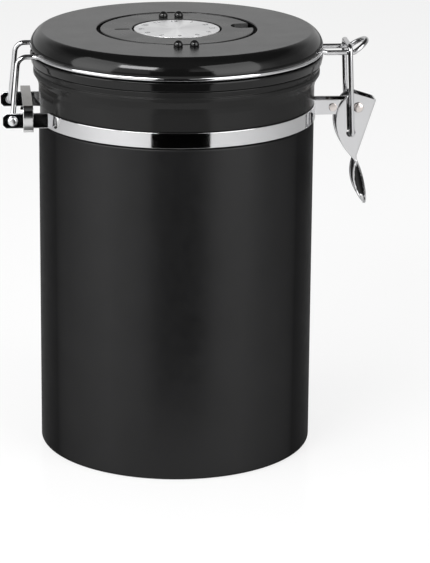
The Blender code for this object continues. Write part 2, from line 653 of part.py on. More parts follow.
def lid_wire_half(side):
    """Half of the lid wire, from a hinge end round to the loop's tip."""
    ring, height = RING_WIRE_RADIUS, RING_WIRE_HEIGHT
    foot_y = EAR_INNER_Y - GAP - WIRE_RADIUS
    end_y = EAR_OUTER_Y + GAP + WIRE_HEAD_HEIGHT / 2
    leave_angle = math.pi - math.asin(LEG_HALF_SPACING / ring)
    meet_angle = math.asin(RAIL_HALF_SPACING / ring)
    leave_span = BEND_SPAN_SHARE * LEG_LEAVE_BEND_RADIUS / ring
    meet_span = BEND_SPAN_SHARE * RAIL_MEET_BEND_RADIUS / ring
    corners = [(HINGE_X, end_y, HINGE.z), (HINGE_X, foot_y, HINGE.z)]
    corners.append((-LEG_TOP_X, LEG_HALF_SPACING, height))
    radii = [0, LEG_FOOT_BEND_RADIUS, LEG_BEND_RADIUS]
    first, last = leave_angle - leave_span, meet_angle + meet_span
    corners.append((leaving_x(first, LEG_HALF_SPACING), LEG_HALF_SPACING, height))
    radii.append(LEG_LEAVE_BEND_RADIUS)
    for step in range(RING_ARC_STEPS + 1):
        angle = first + (last - first) * step / RING_ARC_STEPS
        corners.append((ring * math.cos(angle), ring * math.sin(angle), height))
        radii.append(0)
    meet_x = leaving_x(last, RAIL_HALF_SPACING)
    drop_x = LID_RADIUS + WIRE_RADIUS
    corners.append((meet_x, RAIL_HALF_SPACING, height))
    corners.append((drop_x, RAIL_HALF_SPACING, height))
    corners.append((drop_x + RAIL_DROP_LENGTH, RAIL_HALF_SPACING, RAIL_HEIGHT))
    corners.append((HOOK_START_X, RAIL_HALF_SPACING, RAIL_HEIGHT))
    radii += [RAIL_MEET_BEND_RADIUS, RAIL_BEND_RADIUS, RAIL_BEND_RADIUS, RAIL_BEND_RADIUS]
    slope = Vector((HOOK_TIP_X - HOOK_START_X, 0, HOOK_RISE))
    tip = Vector((HOOK_TIP_X, 0, RAIL_HEIGHT + HOOK_RISE))
    corners.append(tip - slope.normalized() * RAIL_HALF_SPACING + Vector((0, RAIL_HALF_SPACING, 0)))
    radii.append(0)
    route = rounded_route(corners, radii, CORNER_STEPS)
    for step in range(1, BEND_STEPS + 1):
        angle = math.radians(90) * step / BEND_STEPS
        back = slope.normalized() * (RAIL_HALF_SPACING * (1 - math.sin(angle)))
        route.append(tip - back + Vector((0, RAIL_HALF_SPACING * math.cos(angle), 0)))
    return [Vector((spot.x, side * spot.y, spot.z)) for spot in route]


def make_lid_wire(steel):
    """One wire: hinge leg, half ring, rail, loop, and the same again on the other side."""
    front = lid_wire_half(-1)
    rear = lid_wire_half(1)
    return wire("lid_wire", front + rear[-2::-1], steel, HINGE)


def wire_head_profile():
    """Half outline of a peened head of the lid wire, just outside its ear."""
    inside = EAR_OUTER_Y + GAP
    profile = [(0, inside)]
    for step in range(DOME_STEPS):
        angle = math.radians(90) * step / DOME_STEPS
        profile.append((WIRE_HEAD_RADIUS * math.cos(angle), inside + WIRE_HEAD_HEIGHT * math.sin(angle)))
    return profile + [(0, inside + WIRE_HEAD_HEIGHT)]


def make_lid_shell(gloss):
    """Moulded lid: rounded top edge, wire groove in its side, recess for the ring."""
    groove_half = WIRE_RADIUS + WIRE_GROOVE_GAP
    groove_floor = RING_WIRE_RADIUS - groove_half
    groove_low = RING_WIRE_HEIGHT - groove_half
    groove_high = RING_WIRE_HEIGHT + groove_half
    boss = RECESS_RADIUS + LID_WALL
    ceiling = LID_TOP - LID_WALL
    bore = HUB_STEM_RADIUS + GAP
    profile = [(LID_INNER_RADIUS, LID_BOTTOM), (LID_RADIUS - LID_BOTTOM_TAPER, LID_BOTTOM)]
    profile += [(LID_RADIUS, groove_low - LID_BOTTOM_TAPER), (LID_RADIUS, groove_low)]
    profile += [(groove_floor, groove_low), (groove_floor, groove_high), (LID_RADIUS, groove_high)]
    for step in range(BEND_STEPS + 1):
        angle = math.radians(90) * step / BEND_STEPS
        profile.append((LID_FLAT_RADIUS + LID_EDGE_WIDTH * math.cos(angle) ** LID_EDGE_POWER,
                        LID_TOP - LID_EDGE_DROP * (1 - math.sin(angle))))
    profile += [(RECESS_RADIUS, LID_TOP), (RECESS_RADIUS, RECESS_LEVEL), (bore, RECESS_LEVEL)]
    profile += [(bore, FLOOR_UNDERSIDE), (boss, FLOOR_UNDERSIDE), (boss, ceiling)]
    profile += [(LID_INNER_RADIUS, ceiling)]
    shell = turned("lid_shell", profile, gloss, LARGE_STEPS)
    for index, angle in enumerate(LID_STUD_ANGLES):
        foot = Vector((LID_STUD_CIRCLE * math.cos(angle), LID_STUD_CIRCLE * math.sin(angle), LID_TOP))
        pocket = Vector((0, 0, STUD_PIN_LENGTH + GAP))
        above = Vector((0, 0, CUT_OVERRUN))
        cut(shell, cylinder_mesh(f"stud_hole_{index}", STUD_PIN_RADIUS + GAP,
                                 foot - pocket, foot + above, HOLE_STEPS))
    return shell


def make_lid_liner(plastic):
    """Inner plate with a plug, a seat for the gasket and a stem hole for the valve."""
    hole = VALVE_STEM_RADIUS + GAP
    plug_bottom = LINER_BOTTOM - GASKET_THICKNESS - PLUG_DEPTH
    profile = [(hole, plug_bottom), (PLUG_RADIUS, plug_bottom), (PLUG_RADIUS, LINER_BOTTOM)]
    profile += [(LINER_RADIUS, LINER_BOTTOM), (LINER_RADIUS, LINER_TOP), (hole, LINER_TOP)]
    rim = LINER_RADIUS - LINER_THICKNESS
    profile[-1:] = [(LINER_RADIUS, LINER_TOP + LINER_RISE), (rim, LINER_TOP + LINER_RISE), (rim, LINER_TOP),
                    (PLUG_RADIUS - LINER_THICKNESS, LINER_TOP),
                    (PLUG_RADIUS - LINER_THICKNESS, plug_bottom + LINER_THICKNESS),
                    (hole, plug_bottom + LINER_THICKNESS)]
    return turned("lid_liner", profile, plastic)


def make_lid_gasket(silicone):
    """Flat ring round the plug, with a raised bead over the can's rim."""
    inner = PLUG_RADIUS + GAP
    bead_inner = NECK_RADIUS - GASKET_BEAD_WIDTH
    web = GASKET_BOTTOM + GASKET_BEAD_HEIGHT
    profile = [(inner, web), (bead_inner, web)]
    profile += [(bead_inner + GASKET_BEAD_HEIGHT, GASKET_BOTTOM), (LINER_RADIUS, GASKET_BOTTOM)]
    profile += [(LINER_RADIUS, GASKET_TOP), (inner, GASKET_TOP)]
    return turned("lid_gasket", profile, silicone)


def make_date_ring(plastic):
    """Turning ring: pointer line, finger notch and a tongue held under the hub plate."""
    profile = [(RING_TONGUE_RADIUS, RING_BOTTOM), (RING_RADIUS, RING_BOTTOM), (RING_RADIUS, RING_TOP)]
    profile += [(RING_INNER_RADIUS, RING_TOP), (RING_INNER_RADIUS, TONGUE_TOP)]
    profile += [(RING_TONGUE_RADIUS, TONGUE_TOP)]
    ring = turned("date_ring", profile, plastic)
    cut(ring, pointer_cutter())
    cut(ring, notch_cutter())
    for index, angle in enumerate(RING_STUD_ANGLES):
        foot = Vector((RING_STUD_CIRCLE * math.cos(angle), RING_STUD_CIRCLE * math.sin(angle), RING_TOP))
        pocket = Vector((0, 0, STUD_PIN_LENGTH + GAP))
        above = Vector((0, 0, CUT_OVERRUN))
        cut(ring, cylinder_mesh(f"ring_stud_hole_{index}", STUD_PIN_RADIUS + GAP,
                                foot - pocket, foot + above, HOLE_STEPS))
    return ring


def pointer_cutter():
    """Shallow straight groove that points to the dial."""
    bm = bmesh.new()
    bmesh.ops.create_cube(bm, size=1)
    height = POINTER_DEPTH + CUT_OVERRUN
    bmesh.ops.scale(bm, verts=bm.verts, vec=(POINTER_LENGTH, POINTER_WIDTH, height))
    middle = POINTER_START + POINTER_LENGTH / 2
    lift = RING_TOP - POINTER_DEPTH + height / 2
    bmesh.ops.translate(bm, verts=bm.verts, vec=(middle, 0, lift))
    turn_about_z(bm, POINTER_ANGLE)
    return mesh_from(bm, "pointer_cut")


def notch_cutter():
    """Finger notch: a round-ended slot that opens into the groove and slopes to it."""
    half = NOTCH_WIDTH / 2
    round_length = half * NOTCH_END_SHARE
    outline = [(RING_RADIUS + CUT_OVERRUN, -half)]
    for step in range(2 * BEND_STEPS + 1):
        angle = math.radians(-90) - math.radians(180) * step / (2 * BEND_STEPS)
        outline.append((NOTCH_START + round_length * (1 + math.cos(angle)), half * math.sin(angle)))
    outline.append((RING_RADIUS + CUT_OVERRUN, half))
    bm = bmesh.new()
    floor = [bm.verts.new((x, y, RING_TOP - NOTCH_DEPTH)) for x, y in outline]
    roof = [bm.verts.new((x, y, RING_TOP + CUT_OVERRUN)) for x, y in outline]
    bm.faces.new(list(reversed(floor)))
    bm.faces.new(roof)
    for index in range(len(outline)):
        ahead = (index + 1) % len(outline)
        bm.faces.new((floor[index], floor[ahead], roof[ahead], roof[index]))
    turn_about_z(bm, NOTCH_ANGLE)
    return mesh_from(bm, "finger_notch_cut")


def turn_about_z(bm, angle):
    """Turn a bmesh about the Z axis."""
    cosine, sine = math.cos(angle), math.sin(angle)
    for vert in bm.verts:
        x, y = vert.co.x, vert.co.y
        vert.co.x = x * cosine - y * sine
        vert.co.y = x * sine + y * cosine


def make_dial(metal, plastic, steel):
    """Dial disc on its hub, whose stem passes the lid and holds a retaining washer."""
    edge = DIAL_RADIUS - GAP
    stem_end = FLOOR_UNDERSIDE - HUB_STEM_REACH
    hub = [(0, stem_end), (HUB_STEM_RADIUS, stem_end), (HUB_STEM_RADIUS, HUB_PLATE_BOTTOM)]
    hub += [(edge, HUB_PLATE_BOTTOM), (edge, HUB_PLATE_TOP), (0, HUB_PLATE_TOP)]
    turned("dial_hub", hub, plastic)
    disc = [(0, DIAL_BOTTOM), (DIAL_RADIUS, DIAL_BOTTOM), (DIAL_RADIUS, DIAL_BOTTOM + DIAL_THICKNESS)]
    disc += [(0, DIAL_BOTTOM + DIAL_THICKNESS)]
    turned("dial_disc", disc, metal)
    bore = HUB_STEM_RADIUS + RUNNING_GAP
    washer = [(bore, CLIP_TOP - CLIP_THICKNESS), (CLIP_RADIUS, CLIP_TOP - CLIP_THICKNESS)]
    washer += [(CLIP_RADIUS, CLIP_TOP), (bore, CLIP_TOP)]
    turned("hub_clip", washer, steel, SMALL_STEPS)


def make_stud_pair(name, circle, angles, seat, gloss):
    """Two domed studs with short pins, seated on a circle."""
    centre = STUD_CENTRE_ABOVE_SEAT
    first = math.asin((GAP - centre) / STUD_RADIUS)
    sweep = [first + (math.radians(90) - first) * step / DOME_STEPS for step in range(DOME_STEPS)]
    dome = [(STUD_RADIUS * math.cos(angle), centre + STUD_RADIUS * math.sin(angle)) for angle in sweep]
    profile = [(0, -STUD_PIN_LENGTH), (STUD_PIN_RADIUS, -STUD_PIN_LENGTH), (STUD_PIN_RADIUS, GAP)]
    profile += dome + [(0, centre + STUD_RADIUS)]
    for label, angle in zip(("a", "b"), angles):
        stud = turned(f"{name}_{label}", profile, gloss, STUD_STEPS)
        stud.location = (circle * math.cos(angle), circle * math.sin(angle), seat)


def make_studs(gloss):
    """The fixed pair on the lid and the pair that turns with the ring."""
    make_stud_pair("index_stud", LID_STUD_CIRCLE, LID_STUD_ANGLES, LID_TOP, gloss)
    make_stud_pair("ring_stud", RING_STUD_CIRCLE, RING_STUD_ANGLES, RING_TOP, gloss)


def make_valve(plastic, silicone, paper):
    """One-way valve in the liner: vented cup below, disc on its seat, guard above."""
    liner_under = LINER_BOTTOM - GASKET_THICKNESS - PLUG_DEPTH
    cup_top = liner_under - GAP
    cup_bottom = cup_top - VALVE_HEIGHT
    seat = liner_under + LINER_THICKNESS
    guard_top = seat + VALVE_DISC_THICKNESS + VALVE_GUARD_HEIGHT
    guard_inner = VALVE_STEM_RADIUS - VALVE_WALL
    profile = [(0, cup_bottom), (VALVE_RADIUS, cup_bottom), (VALVE_RADIUS, cup_top)]
    profile += [(VALVE_STEM_RADIUS, cup_top), (VALVE_STEM_RADIUS, guard_top), (guard_inner, guard_top)]
    profile += [(guard_inner, seat), (VALVE_STEM_BORE, seat), (VALVE_STEM_BORE, cup_top - VALVE_WALL)]
    profile += [(VALVE_RADIUS - VALVE_WALL, cup_top - VALVE_WALL)]
    profile += [(VALVE_RADIUS - VALVE_WALL, cup_bottom + VALVE_WALL), (0, cup_bottom + VALVE_WALL)]
    body = turned("valve_body", profile, plastic, VALVE_STEPS)
    for index in range(VALVE_HOLE_COUNT):
        angle = 2 * math.pi * index / VALVE_HOLE_COUNT
        spot = Vector((math.cos(angle), math.sin(angle), 0)) * VALVE_HOLE_CIRCLE
        spot.z = cup_bottom
        low = spot - Vector((0, 0, CUT_OVERRUN))
        high = spot + Vector((0, 0, VALVE_WALL + CUT_OVERRUN / 2))
        cut(body, cylinder_mesh(f"vent_{index}", VALVE_HOLE_RADIUS, low, high, VENT_STEPS))
    disc_bottom = seat + GAP
    disc = [(0, disc_bottom), (VALVE_DISC_RADIUS - GAP, disc_bottom)]
    disc_top = disc_bottom + VALVE_DISC_THICKNESS
    disc += [(VALVE_DISC_RADIUS - GAP, disc_top), (0, disc_top)]
    turned("valve_disc", disc, silicone, SHEET_STEPS)
    paper_bottom = cup_bottom + VALVE_WALL + GAP
    paper_edge = VALVE_RADIUS - VALVE_WALL - GAP
    sheet = [(0, paper_bottom), (paper_edge, paper_bottom), (paper_edge, paper_bottom + FILTER_THICKNESS)]
    sheet += [(0, paper_bottom + FILTER_THICKNESS)]
    turned("valve_filter", sheet, paper, SHEET_STEPS)


def join_wire_heads(lid_wire, steel):
    """Make the lid wire a mesh and unite the two peened heads with its ends."""
    bpy.context.view_layer.update()
    graph = bpy.context.evaluated_depsgraph_get()
    mesh = bpy.data.meshes.new_from_object(lid_wire.evaluated_get(graph))
    place = lid_wire.location.copy()
    bpy.data.objects.remove(lid_wire)
    merged = new_object("lid_wire", mesh, None, place)
    mesh.materials.clear()
    mesh.materials.append(steel)
    for label, side in (("front", -1), ("rear", 1)):
        head = spun_mesh(f"wire_head_{label}", wire_head_profile(), STUD_STEPS)
        for vert in head.vertices:
            vert.co = HINGE + Vector((vert.co.x, side * vert.co.z, -side * vert.co.y))
        join_with(merged, head)


def build():
    """Model every piece."""
    clear_scene()
    black_coat = material("matte_black_coat", (0.035, 0.035, 0.037), 0.55)
    satin_black = material("satin_black_plastic", (0.035, 0.035, 0.036), 0.35)
    gloss_black = material("gloss_black_plastic", (0.02, 0.02, 0.021), 0.12)
    liner_plastic = material("liner_plastic", (0.04, 0.04, 0.042), 0.4)
    steel = material("polished_steel", (0.72, 0.72, 0.73), 0.12, 1)
    brushed = material("brushed_aluminium", (0.75, 0.75, 0.76), 0.3, 1)
    silicone = material("grey_silicone", (0.35, 0.34, 0.32), 0.6)
    paper = material("filter_paper", (0.75, 0.72, 0.66), 0.9)

    make_body_shell(black_coat)
    make_rim_collar(satin_black)
    make_band("front_band", -1, steel)
    make_band("rear_band", 1, steel)
    make_keeper(steel)
    make_rivets(steel)
    make_lever(steel)
    make_latch_wire(steel)
    make_lid_shell(gloss_black)
    join_wire_heads(make_lid_wire(steel), steel)
    make_lid_liner(liner_plastic)
    make_lid_gasket(silicone)
    make_date_ring(satin_black)
    make_dial(brushed, satin_black, steel)
    make_studs(gloss_black)
    make_valve(satin_black, silicone, paper)


build()
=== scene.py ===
"""Looks of the coffee canister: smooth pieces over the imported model, materials, light and camera."""
import math

import bmesh
import bpy
from mathutils import Matrix, Vector


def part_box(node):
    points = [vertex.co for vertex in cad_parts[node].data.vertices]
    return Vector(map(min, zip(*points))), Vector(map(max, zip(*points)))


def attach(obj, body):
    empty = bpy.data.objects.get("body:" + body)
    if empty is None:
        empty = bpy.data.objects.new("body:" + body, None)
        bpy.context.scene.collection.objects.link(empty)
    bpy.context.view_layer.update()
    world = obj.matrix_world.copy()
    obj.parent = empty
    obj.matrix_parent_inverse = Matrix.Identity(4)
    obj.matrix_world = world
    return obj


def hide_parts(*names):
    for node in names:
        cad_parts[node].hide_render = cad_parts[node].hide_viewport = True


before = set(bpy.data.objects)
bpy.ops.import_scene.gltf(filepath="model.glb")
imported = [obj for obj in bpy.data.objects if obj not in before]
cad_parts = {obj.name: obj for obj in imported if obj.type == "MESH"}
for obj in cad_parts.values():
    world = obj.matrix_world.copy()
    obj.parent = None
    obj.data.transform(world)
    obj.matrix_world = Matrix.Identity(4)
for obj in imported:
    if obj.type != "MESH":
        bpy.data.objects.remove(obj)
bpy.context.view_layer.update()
scene = bpy.context.scene

# Sizes in metres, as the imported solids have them.
CAN_R, WALL, NECK_R = 0.060, 0.0008, 0.058
SHOULDER, MOUTH, COLLAR_TOP = 0.1468, 0.1711, 0.1717
BAND_R, BAND_Z, BAND_H = 0.0602, 0.1507, 0.0066
EAR_Y, ARM_Y, BAND_RIVET_X = 0.0205, 0.0037, 0.0684
LID_R, LID_TOP, LID_BOTTOM = 0.0636, 0.186, 0.172
WIRE_R, WIRE_RING, WIRE_Z, RAIL_Y = 0.0011, 0.0623, 0.1773, 0.0068
RECESS_R, RECESS_Z = 0.0348, 0.1818
RING_R, RING_IN, RING_Z = 0.0332, 0.0195, 0.1859
DIAL_R = 0.0186
HINGE = Vector((-0.071902, 0, BAND_Z))
PIVOT = Vector((0.0795, 0, BAND_Z))
LATCH_HOLE = Vector((0.0764, 0, 0.1393))
CHEEK_OUT = 0.0052
TAB_DISH = 0.0009
LID_STUD_CIRCLE, LID_STUD_ANGLES = 0.0372, (266.0, 276.6)
RING_STUD_CIRCLE, RING_STUD_ANGLES = 0.0252, (83.2, 98.8)
POINTER_START, POINTER_END, POINTER_ANGLE = 0.0203, 0.0271, 181.0
NOTCH_HALF, NOTCH_START, NOTCH_ANGLE = 0.0048, 0.0242, 7.4
NUMERAL_CIRCLE, NUMERAL_SIZE, NUMERAL_RELIEF = 0.0152, 0.0036, 0.00003
STRIP_T, STRIP_EDGE = 0.0008, 0.00018
# Distance of the support points from the ends of a long run.
SUPPORT = 0.00012


# Materials.
class Shade:
    """A Principled material with a small node tree built by name."""

    def __init__(self, name, colour, rough, metal=0.0, **sockets):
        self.mat = bpy.data.materials.new(name)
        self.mat.use_nodes = True
        self.tree = self.mat.node_tree
        self.bsdf = self.tree.nodes["Principled BSDF"]
        self.set("Base Color", (*colour, 1))
        self.set("Roughness", rough)
        self.set("Metallic", metal)
        for key, value in sockets.items():
            self.set(key.replace("_", " "), value)
        self.coord = self.node("ShaderNodeTexCoord").outputs["Object"]

    def set(self, socket, value):
        """Give a socket of the shader a plain value."""
        self.bsdf.inputs[socket].default_value = value

    def node(self, kind, **settings):
        """New node, its settings and sockets given by name."""
        made = self.tree.nodes.new(kind)
        for key, value in settings.items():
            if hasattr(made, key):
                setattr(made, key, value)
            else:
                made.inputs[key.replace("_", " ")].default_value = value
        return made

    def link(self, out, into):
        """Link a node's output to any socket."""
        self.tree.links.new(out, into)

    def noise(self, scale, detail=3.0, stretch=None):
        """Noise in object coordinates, scale in features per metre."""
        made = self.node("ShaderNodeTexNoise", Scale=scale, Detail=detail, Roughness=0.55)
        where = self.coord
        if stretch:
            mapping = self.node("ShaderNodeMapping", Scale=stretch)
            self.link(where, mapping.inputs["Vector"])
            where = mapping.outputs["Vector"]
        self.link(where, made.inputs["Vector"])
        return made.outputs["Fac"]

    def facing(self):
        """0 where the surface faces the eye, 1 where it turns away."""
        return self.node("ShaderNodeLayerWeight", Blend=0.5).outputs["Facing"]

    def spread(self, fac, low, high, start=0.3, end=0.7):
        """Map a factor to a range of values."""
        made = self.node("ShaderNodeMapRange", From_Min=start, From_Max=end, To_Min=low, To_Max=high)
        self.link(fac, made.inputs["Value"])
        return made.outputs["Result"]

    def tint(self, fac, first, second, start=0.3, end=0.7):
        """Mix two colours by a factor."""
        ramp = self.node("ShaderNodeValToRGB")
        ramp.color_ramp.elements[0].position = start
        ramp.color_ramp.elements[0].color = (*first, 1)
        ramp.color_ramp.elements[1].position = end
        ramp.color_ramp.elements[1].color = (*second, 1)
        self.link(fac, ramp.inputs["Fac"])
        return ramp.outputs["Color"]

    def bump(self, *layers):
        """Bump from (height, strength, distance in metres) layers, one over the other."""
        normal = None
        for height, strength, distance in layers:
            made = self.node("ShaderNodeBump", Strength=strength, Distance=distance)
            self.link(height, made.inputs["Height"])
            if normal:
                self.link(normal, made.inputs["Normal"])
            normal = made.outputs["Normal"]
        self.link(normal, self.bsdf.inputs["Normal"])

    def drive(self, socket, out):
        """Link a node's output to a socket of the shader."""
        self.link(out, self.bsdf.inputs[socket])


def powder_coat():
    """Matte black powder coat: fine orange peel, slight change of sheen."""
    s = Shade("coat", (0.005, 0.005, 0.0052), 0.40)
    grain = s.noise(2600, 2)
    peel = s.noise(900, 2)
    s.drive("Base Color", s.tint(s.noise(60, 4), (0.0045, 0.0045, 0.0047), (0.006, 0.006, 0.0063)))
    s.drive("Roughness", s.spread(s.noise(240, 4), 0.36, 0.42))
    s.drive("Specular IOR Level", s.spread(s.facing(), 0.30, 0.015, 0.18, 0.55))
    s.bump((peel, 0.12, 0.00003), (grain, 0.10, 0.00002))
    return s.mat


def satin_plastic(name, colour, low, high):
    """Moulded black plastic with a fine spark texture."""
    s = Shade(name, colour, low)
    grain = s.noise(3200, 2)
    s.drive("Roughness", s.spread(s.noise(350, 4), low, high))
    first, second = [c * 0.92 for c in colour], [c * 1.08 for c in colour]
    s.drive("Base Color", s.tint(s.noise(45, 3), first, second))
    s.drive("Specular IOR Level", s.spread(s.facing(), 0.17, 0.04, 0.2, 0.6))
    s.bump((grain, 0.03, 0.00002))
    return s.mat


def gloss_plastic(name, colour, low, high, satin=None):
    """Glossy moulded plastic with faint marks; satin gives the heights where it turns satin."""
    s = Shade(name, colour, low)
    hair = s.noise(500, 3, (1.0, 0.08, 1.0))
    rough = s.spread(s.noise(90, 5), low, high, 0.35, 0.75)
    if satin:
        split = s.node("ShaderNodeSeparateXYZ")
        s.link(s.coord, split.inputs["Vector"])
        more = s.node("ShaderNodeMath", operation="ADD")
        s.link(rough, more.inputs[0])
        s.link(s.spread(split.outputs["Z"], 0.0, 0.15, *satin), more.inputs[1])
        s.drive("Specular IOR Level", s.spread(split.outputs["Z"], 0.34, 0.52, *satin))
        rough = more.outputs["Value"]
    s.drive("Roughness", rough)
    s.drive("Base Color", s.tint(s.noise(30, 2), [c * 0.9 for c in colour], [c * 1.1 for c in colour]))
    s.bump((s.noise(28, 2), 0.05, 0.0002), (hair, 0.02, 0.00001))
    return s.mat


def polished_steel(name, low, high, colour=(0.69, 0.69, 0.70), wave=0.06):
    """Bright steel: thin polishing lines, small smudges, a trace of waviness."""
    s = Shade(name, colour, low, 1.0)
    lines = s.noise(1400, 3, (0.12, 0.12, 1.0))
    smudge = s.noise(160, 4)
    s.drive("Roughness", s.spread(smudge, low, high, 0.3, 0.75))
    s.drive("Base Color", s.tint(s.noise(70, 3), [c * 0.94 for c in colour], colour))
    s.bump((s.noise(60, 2), wave, 0.0001), (lines, wave / 2, 0.00001))
    return s.mat


def brushed_dial():
    """Aluminium with concentric brushing, which fans its highlights out from the middle."""
    s = Shade("dial", (0.92, 0.92, 0.93), 0.34, 0.72)
    s.set("Anisotropic", 0.7)
    tangent = s.node("ShaderNodeTangent", direction_type="RADIAL", axis="Z")
    s.drive("Tangent", tangent.outputs["Tangent"])
    flat = s.node("ShaderNodeVectorMath", operation="MULTIPLY")
    s.link(s.coord, flat.inputs[0])
    flat.inputs[1].default_value = (1, 1, 0)
    radius = s.node("ShaderNodeVectorMath", operation="LENGTH")
    s.link(flat.outputs["Vector"], radius.inputs[0])
    lathe = s.node("ShaderNodeTexNoise", noise_dimensions="1D", Scale=9000.0, Detail=2.0)
    s.link(radius.outputs["Value"], lathe.inputs["W"])
    turn = s.node("ShaderNodeVectorMath", operation="NORMALIZE")
    s.link(flat.outputs["Vector"], turn.inputs[0])
    fan = s.node("ShaderNodeTexNoise", Scale=3.2, Detail=1.0)
    s.link(turn.outputs["Vector"], fan.inputs["Vector"])
    s.drive("Base Color", s.tint(fan.outputs["Fac"], (0.86, 0.86, 0.87), (0.94, 0.94, 0.945),
                                 0.38, 0.62))
    s.drive("Roughness", s.spread(lathe.outputs["Fac"], 0.28, 0.40))
    s.bump((lathe.outputs["Fac"], 0.10, 0.00002))
    return s.mat


def silicone():
    """Soft grey silicone."""
    s = Shade("silicone", (0.36, 0.355, 0.34), 0.55, Subsurface_Weight=0.08)
    s.set("Subsurface Radius", (0.002, 0.002, 0.002))
    s.drive("Roughness", s.spread(s.noise(300, 4), 0.48, 0.62))
    s.drive("Base Color", s.tint(s.noise(80, 3), (0.33, 0.325, 0.31), (0.38, 0.375, 0.36)))
    s.bump((s.noise(1800, 2), 0.06, 0.00003))
    return s.mat


def filter_paper():
    """Fibrous pale paper."""
    s = Shade("filter", (0.72, 0.70, 0.64), 0.9, Sheen_Weight=0.3)
    fibre = s.noise(2400, 5, (1, 0.3, 1))
    s.drive("Base Color", s.tint(fibre, (0.66, 0.64, 0.58), (0.78, 0.76, 0.70)))
    s.bump((fibre, 0.4, 0.0001))
    return s.mat


def ink():
    """Dark print of the numerals."""
    s = Shade("ink", (0.11, 0.11, 0.115), 0.4)
    s.drive("Base Color", s.tint(s.noise(2000, 3), (0.08, 0.08, 0.085), (0.16, 0.16, 0.165)))
    return s.mat


COAT = powder_coat()
COLLAR = satin_plastic("collar", (0.0125, 0.0125, 0.0124), 0.17, 0.19)
LID = gloss_plastic("lid", (0.004, 0.004, 0.004), 0.09, 0.12, (0.1848, 0.1859))
RING = gloss_plastic("ring", (0.011, 0.011, 0.011), 0.26, 0.32)
STUD = gloss_plastic("stud", (0.006, 0.006, 0.006), 0.10, 0.14)
STEEL = polished_steel("steel", 0.05, 0.10)
KEEPER_STEEL = polished_steel("keeper_steel", 0.06, 0.09, (0.80, 0.80, 0.80), 0.02)
# Darker copy of the keeper's steel for its top faces: painted shade.
KEEPER_TOP_SHADE = polished_steel("keeper_top_painted_shade", 0.16, 0.26, (0.28, 0.27, 0.255))
HEAD_STEEL = polished_steel("head_steel", 0.22, 0.34, (0.86, 0.86, 0.87))
# Near-black copy of the steel for the lever tab's hollow: painted shade.
TAB_HOLLOW_SHADE = polished_steel("tab_hollow_painted_shade", 0.5, 0.6, (0.03, 0.03, 0.03))
RIVET_STEEL = polished_steel("rivet_steel", 0.16, 0.26, (0.78, 0.72, 0.69))
INSIDE_STEEL = polished_steel("inside_steel", 0.38, 0.44, (0.86, 0.86, 0.87), 0.01)
DIAL = brushed_dial()
INNER = satin_plastic("inner_plastic", (0.030, 0.030, 0.031), 0.34, 0.42)
SILICONE = silicone()
FILTER = filter_paper()
INK = ink()
PAINT = satin_plastic("pointer_paint", (0.003, 0.003, 0.003), 0.5, 0.6)


# Mesh tools.
def linked(name, data):
    """New object, linked to the scene."""
    thing = bpy.data.objects.new(name, data)
    scene.collection.objects.link(thing)
    return thing


def finish_object(name, mesh, body, node, finish, sharp=32.0):
    """Link a mesh as a piece: its materials, smooth faces, body, and the CAD node it hides."""
    thing = linked(name, mesh)
    for mat in finish if isinstance(finish, (list, tuple)) else [finish]:
        if mat.name not in mesh.materials:
            mesh.materials.append(mat)
    mesh.shade_smooth()
    mesh.set_sharp_from_angle(angle=math.radians(sharp))
    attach(thing, body)
    if node:
        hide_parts(node)
    return thing


def to_mesh(name, verts, faces, marks=None):
    """Mesh from points and faces, welded and facing out."""
    mesh = bpy.data.meshes.new(name)
    mesh.from_pydata([tuple(v) for v in verts], [], faces)
    if marks:
        mesh.polygons.foreach_set("material_index", marks)
    bm = bmesh.new()
    bm.from_mesh(mesh)
    bmesh.ops.remove_doubles(bm, verts=bm.verts, dist=1e-6)
    bmesh.ops.recalc_face_normals(bm, faces=bm.faces)
    bm.to_mesh(mesh)
    bm.free()
    return mesh


def arc_points(centre, start, end, steps):
    """Points on an arc round a centre from start to end."""
    first, last = start - centre, end - centre
    turn = first.angle(last)
    points = []
    for step in range(steps + 1):
        share = step / steps
        spoke = first * math.sin((1 - share) * turn) + last * math.sin(share * turn)
        points.append(centre + spoke / math.sin(turn))
    return points


def fillet(points, radii, steps):
    """Closed outline with its corners turned on arcs; radii is one number or one per corner."""
    out, count = [], len(points)
    if not isinstance(radii, (list, tuple)):
        radii = [radii] * count
    for i, radius in enumerate(radii):
        corner = Vector(points[i])
        before, after = Vector(points[i - 1]), Vector(points[(i + 1) % count])
        back, ahead = before - corner, after - corner
        if radius <= 0 or min(back.length, ahead.length) < 1e-7:
            out.append(tuple(corner))
            continue
        half = back.angle(ahead) / 2
        if half > math.radians(88):
            out.append(tuple(corner))
            continue
        reach = min(radius / math.tan(half), back.length * 0.48, ahead.length * 0.48)
        back, ahead = back.normalized(), ahead.normalized()
        centre = corner + (back + ahead).normalized() * (reach * math.tan(half) / math.sin(half))
        arc = arc_points(centre, corner + back * reach, corner + ahead * reach, steps)
        out += [tuple(spot) for spot in arc]
    return out


def supported(points):
    """Add a point near both ends of each long run, so smooth shading stays flat between them."""
    out = []
    for first, second in zip(points, points[1:] + points[:1]):
        a, b = Vector(first), Vector(second)
        out.append(tuple(a))
        if (b - a).length > 6 * SUPPORT:
            way = (b - a).normalized() * SUPPORT
            out += [tuple(a + way), tuple(b - way)]
    return out


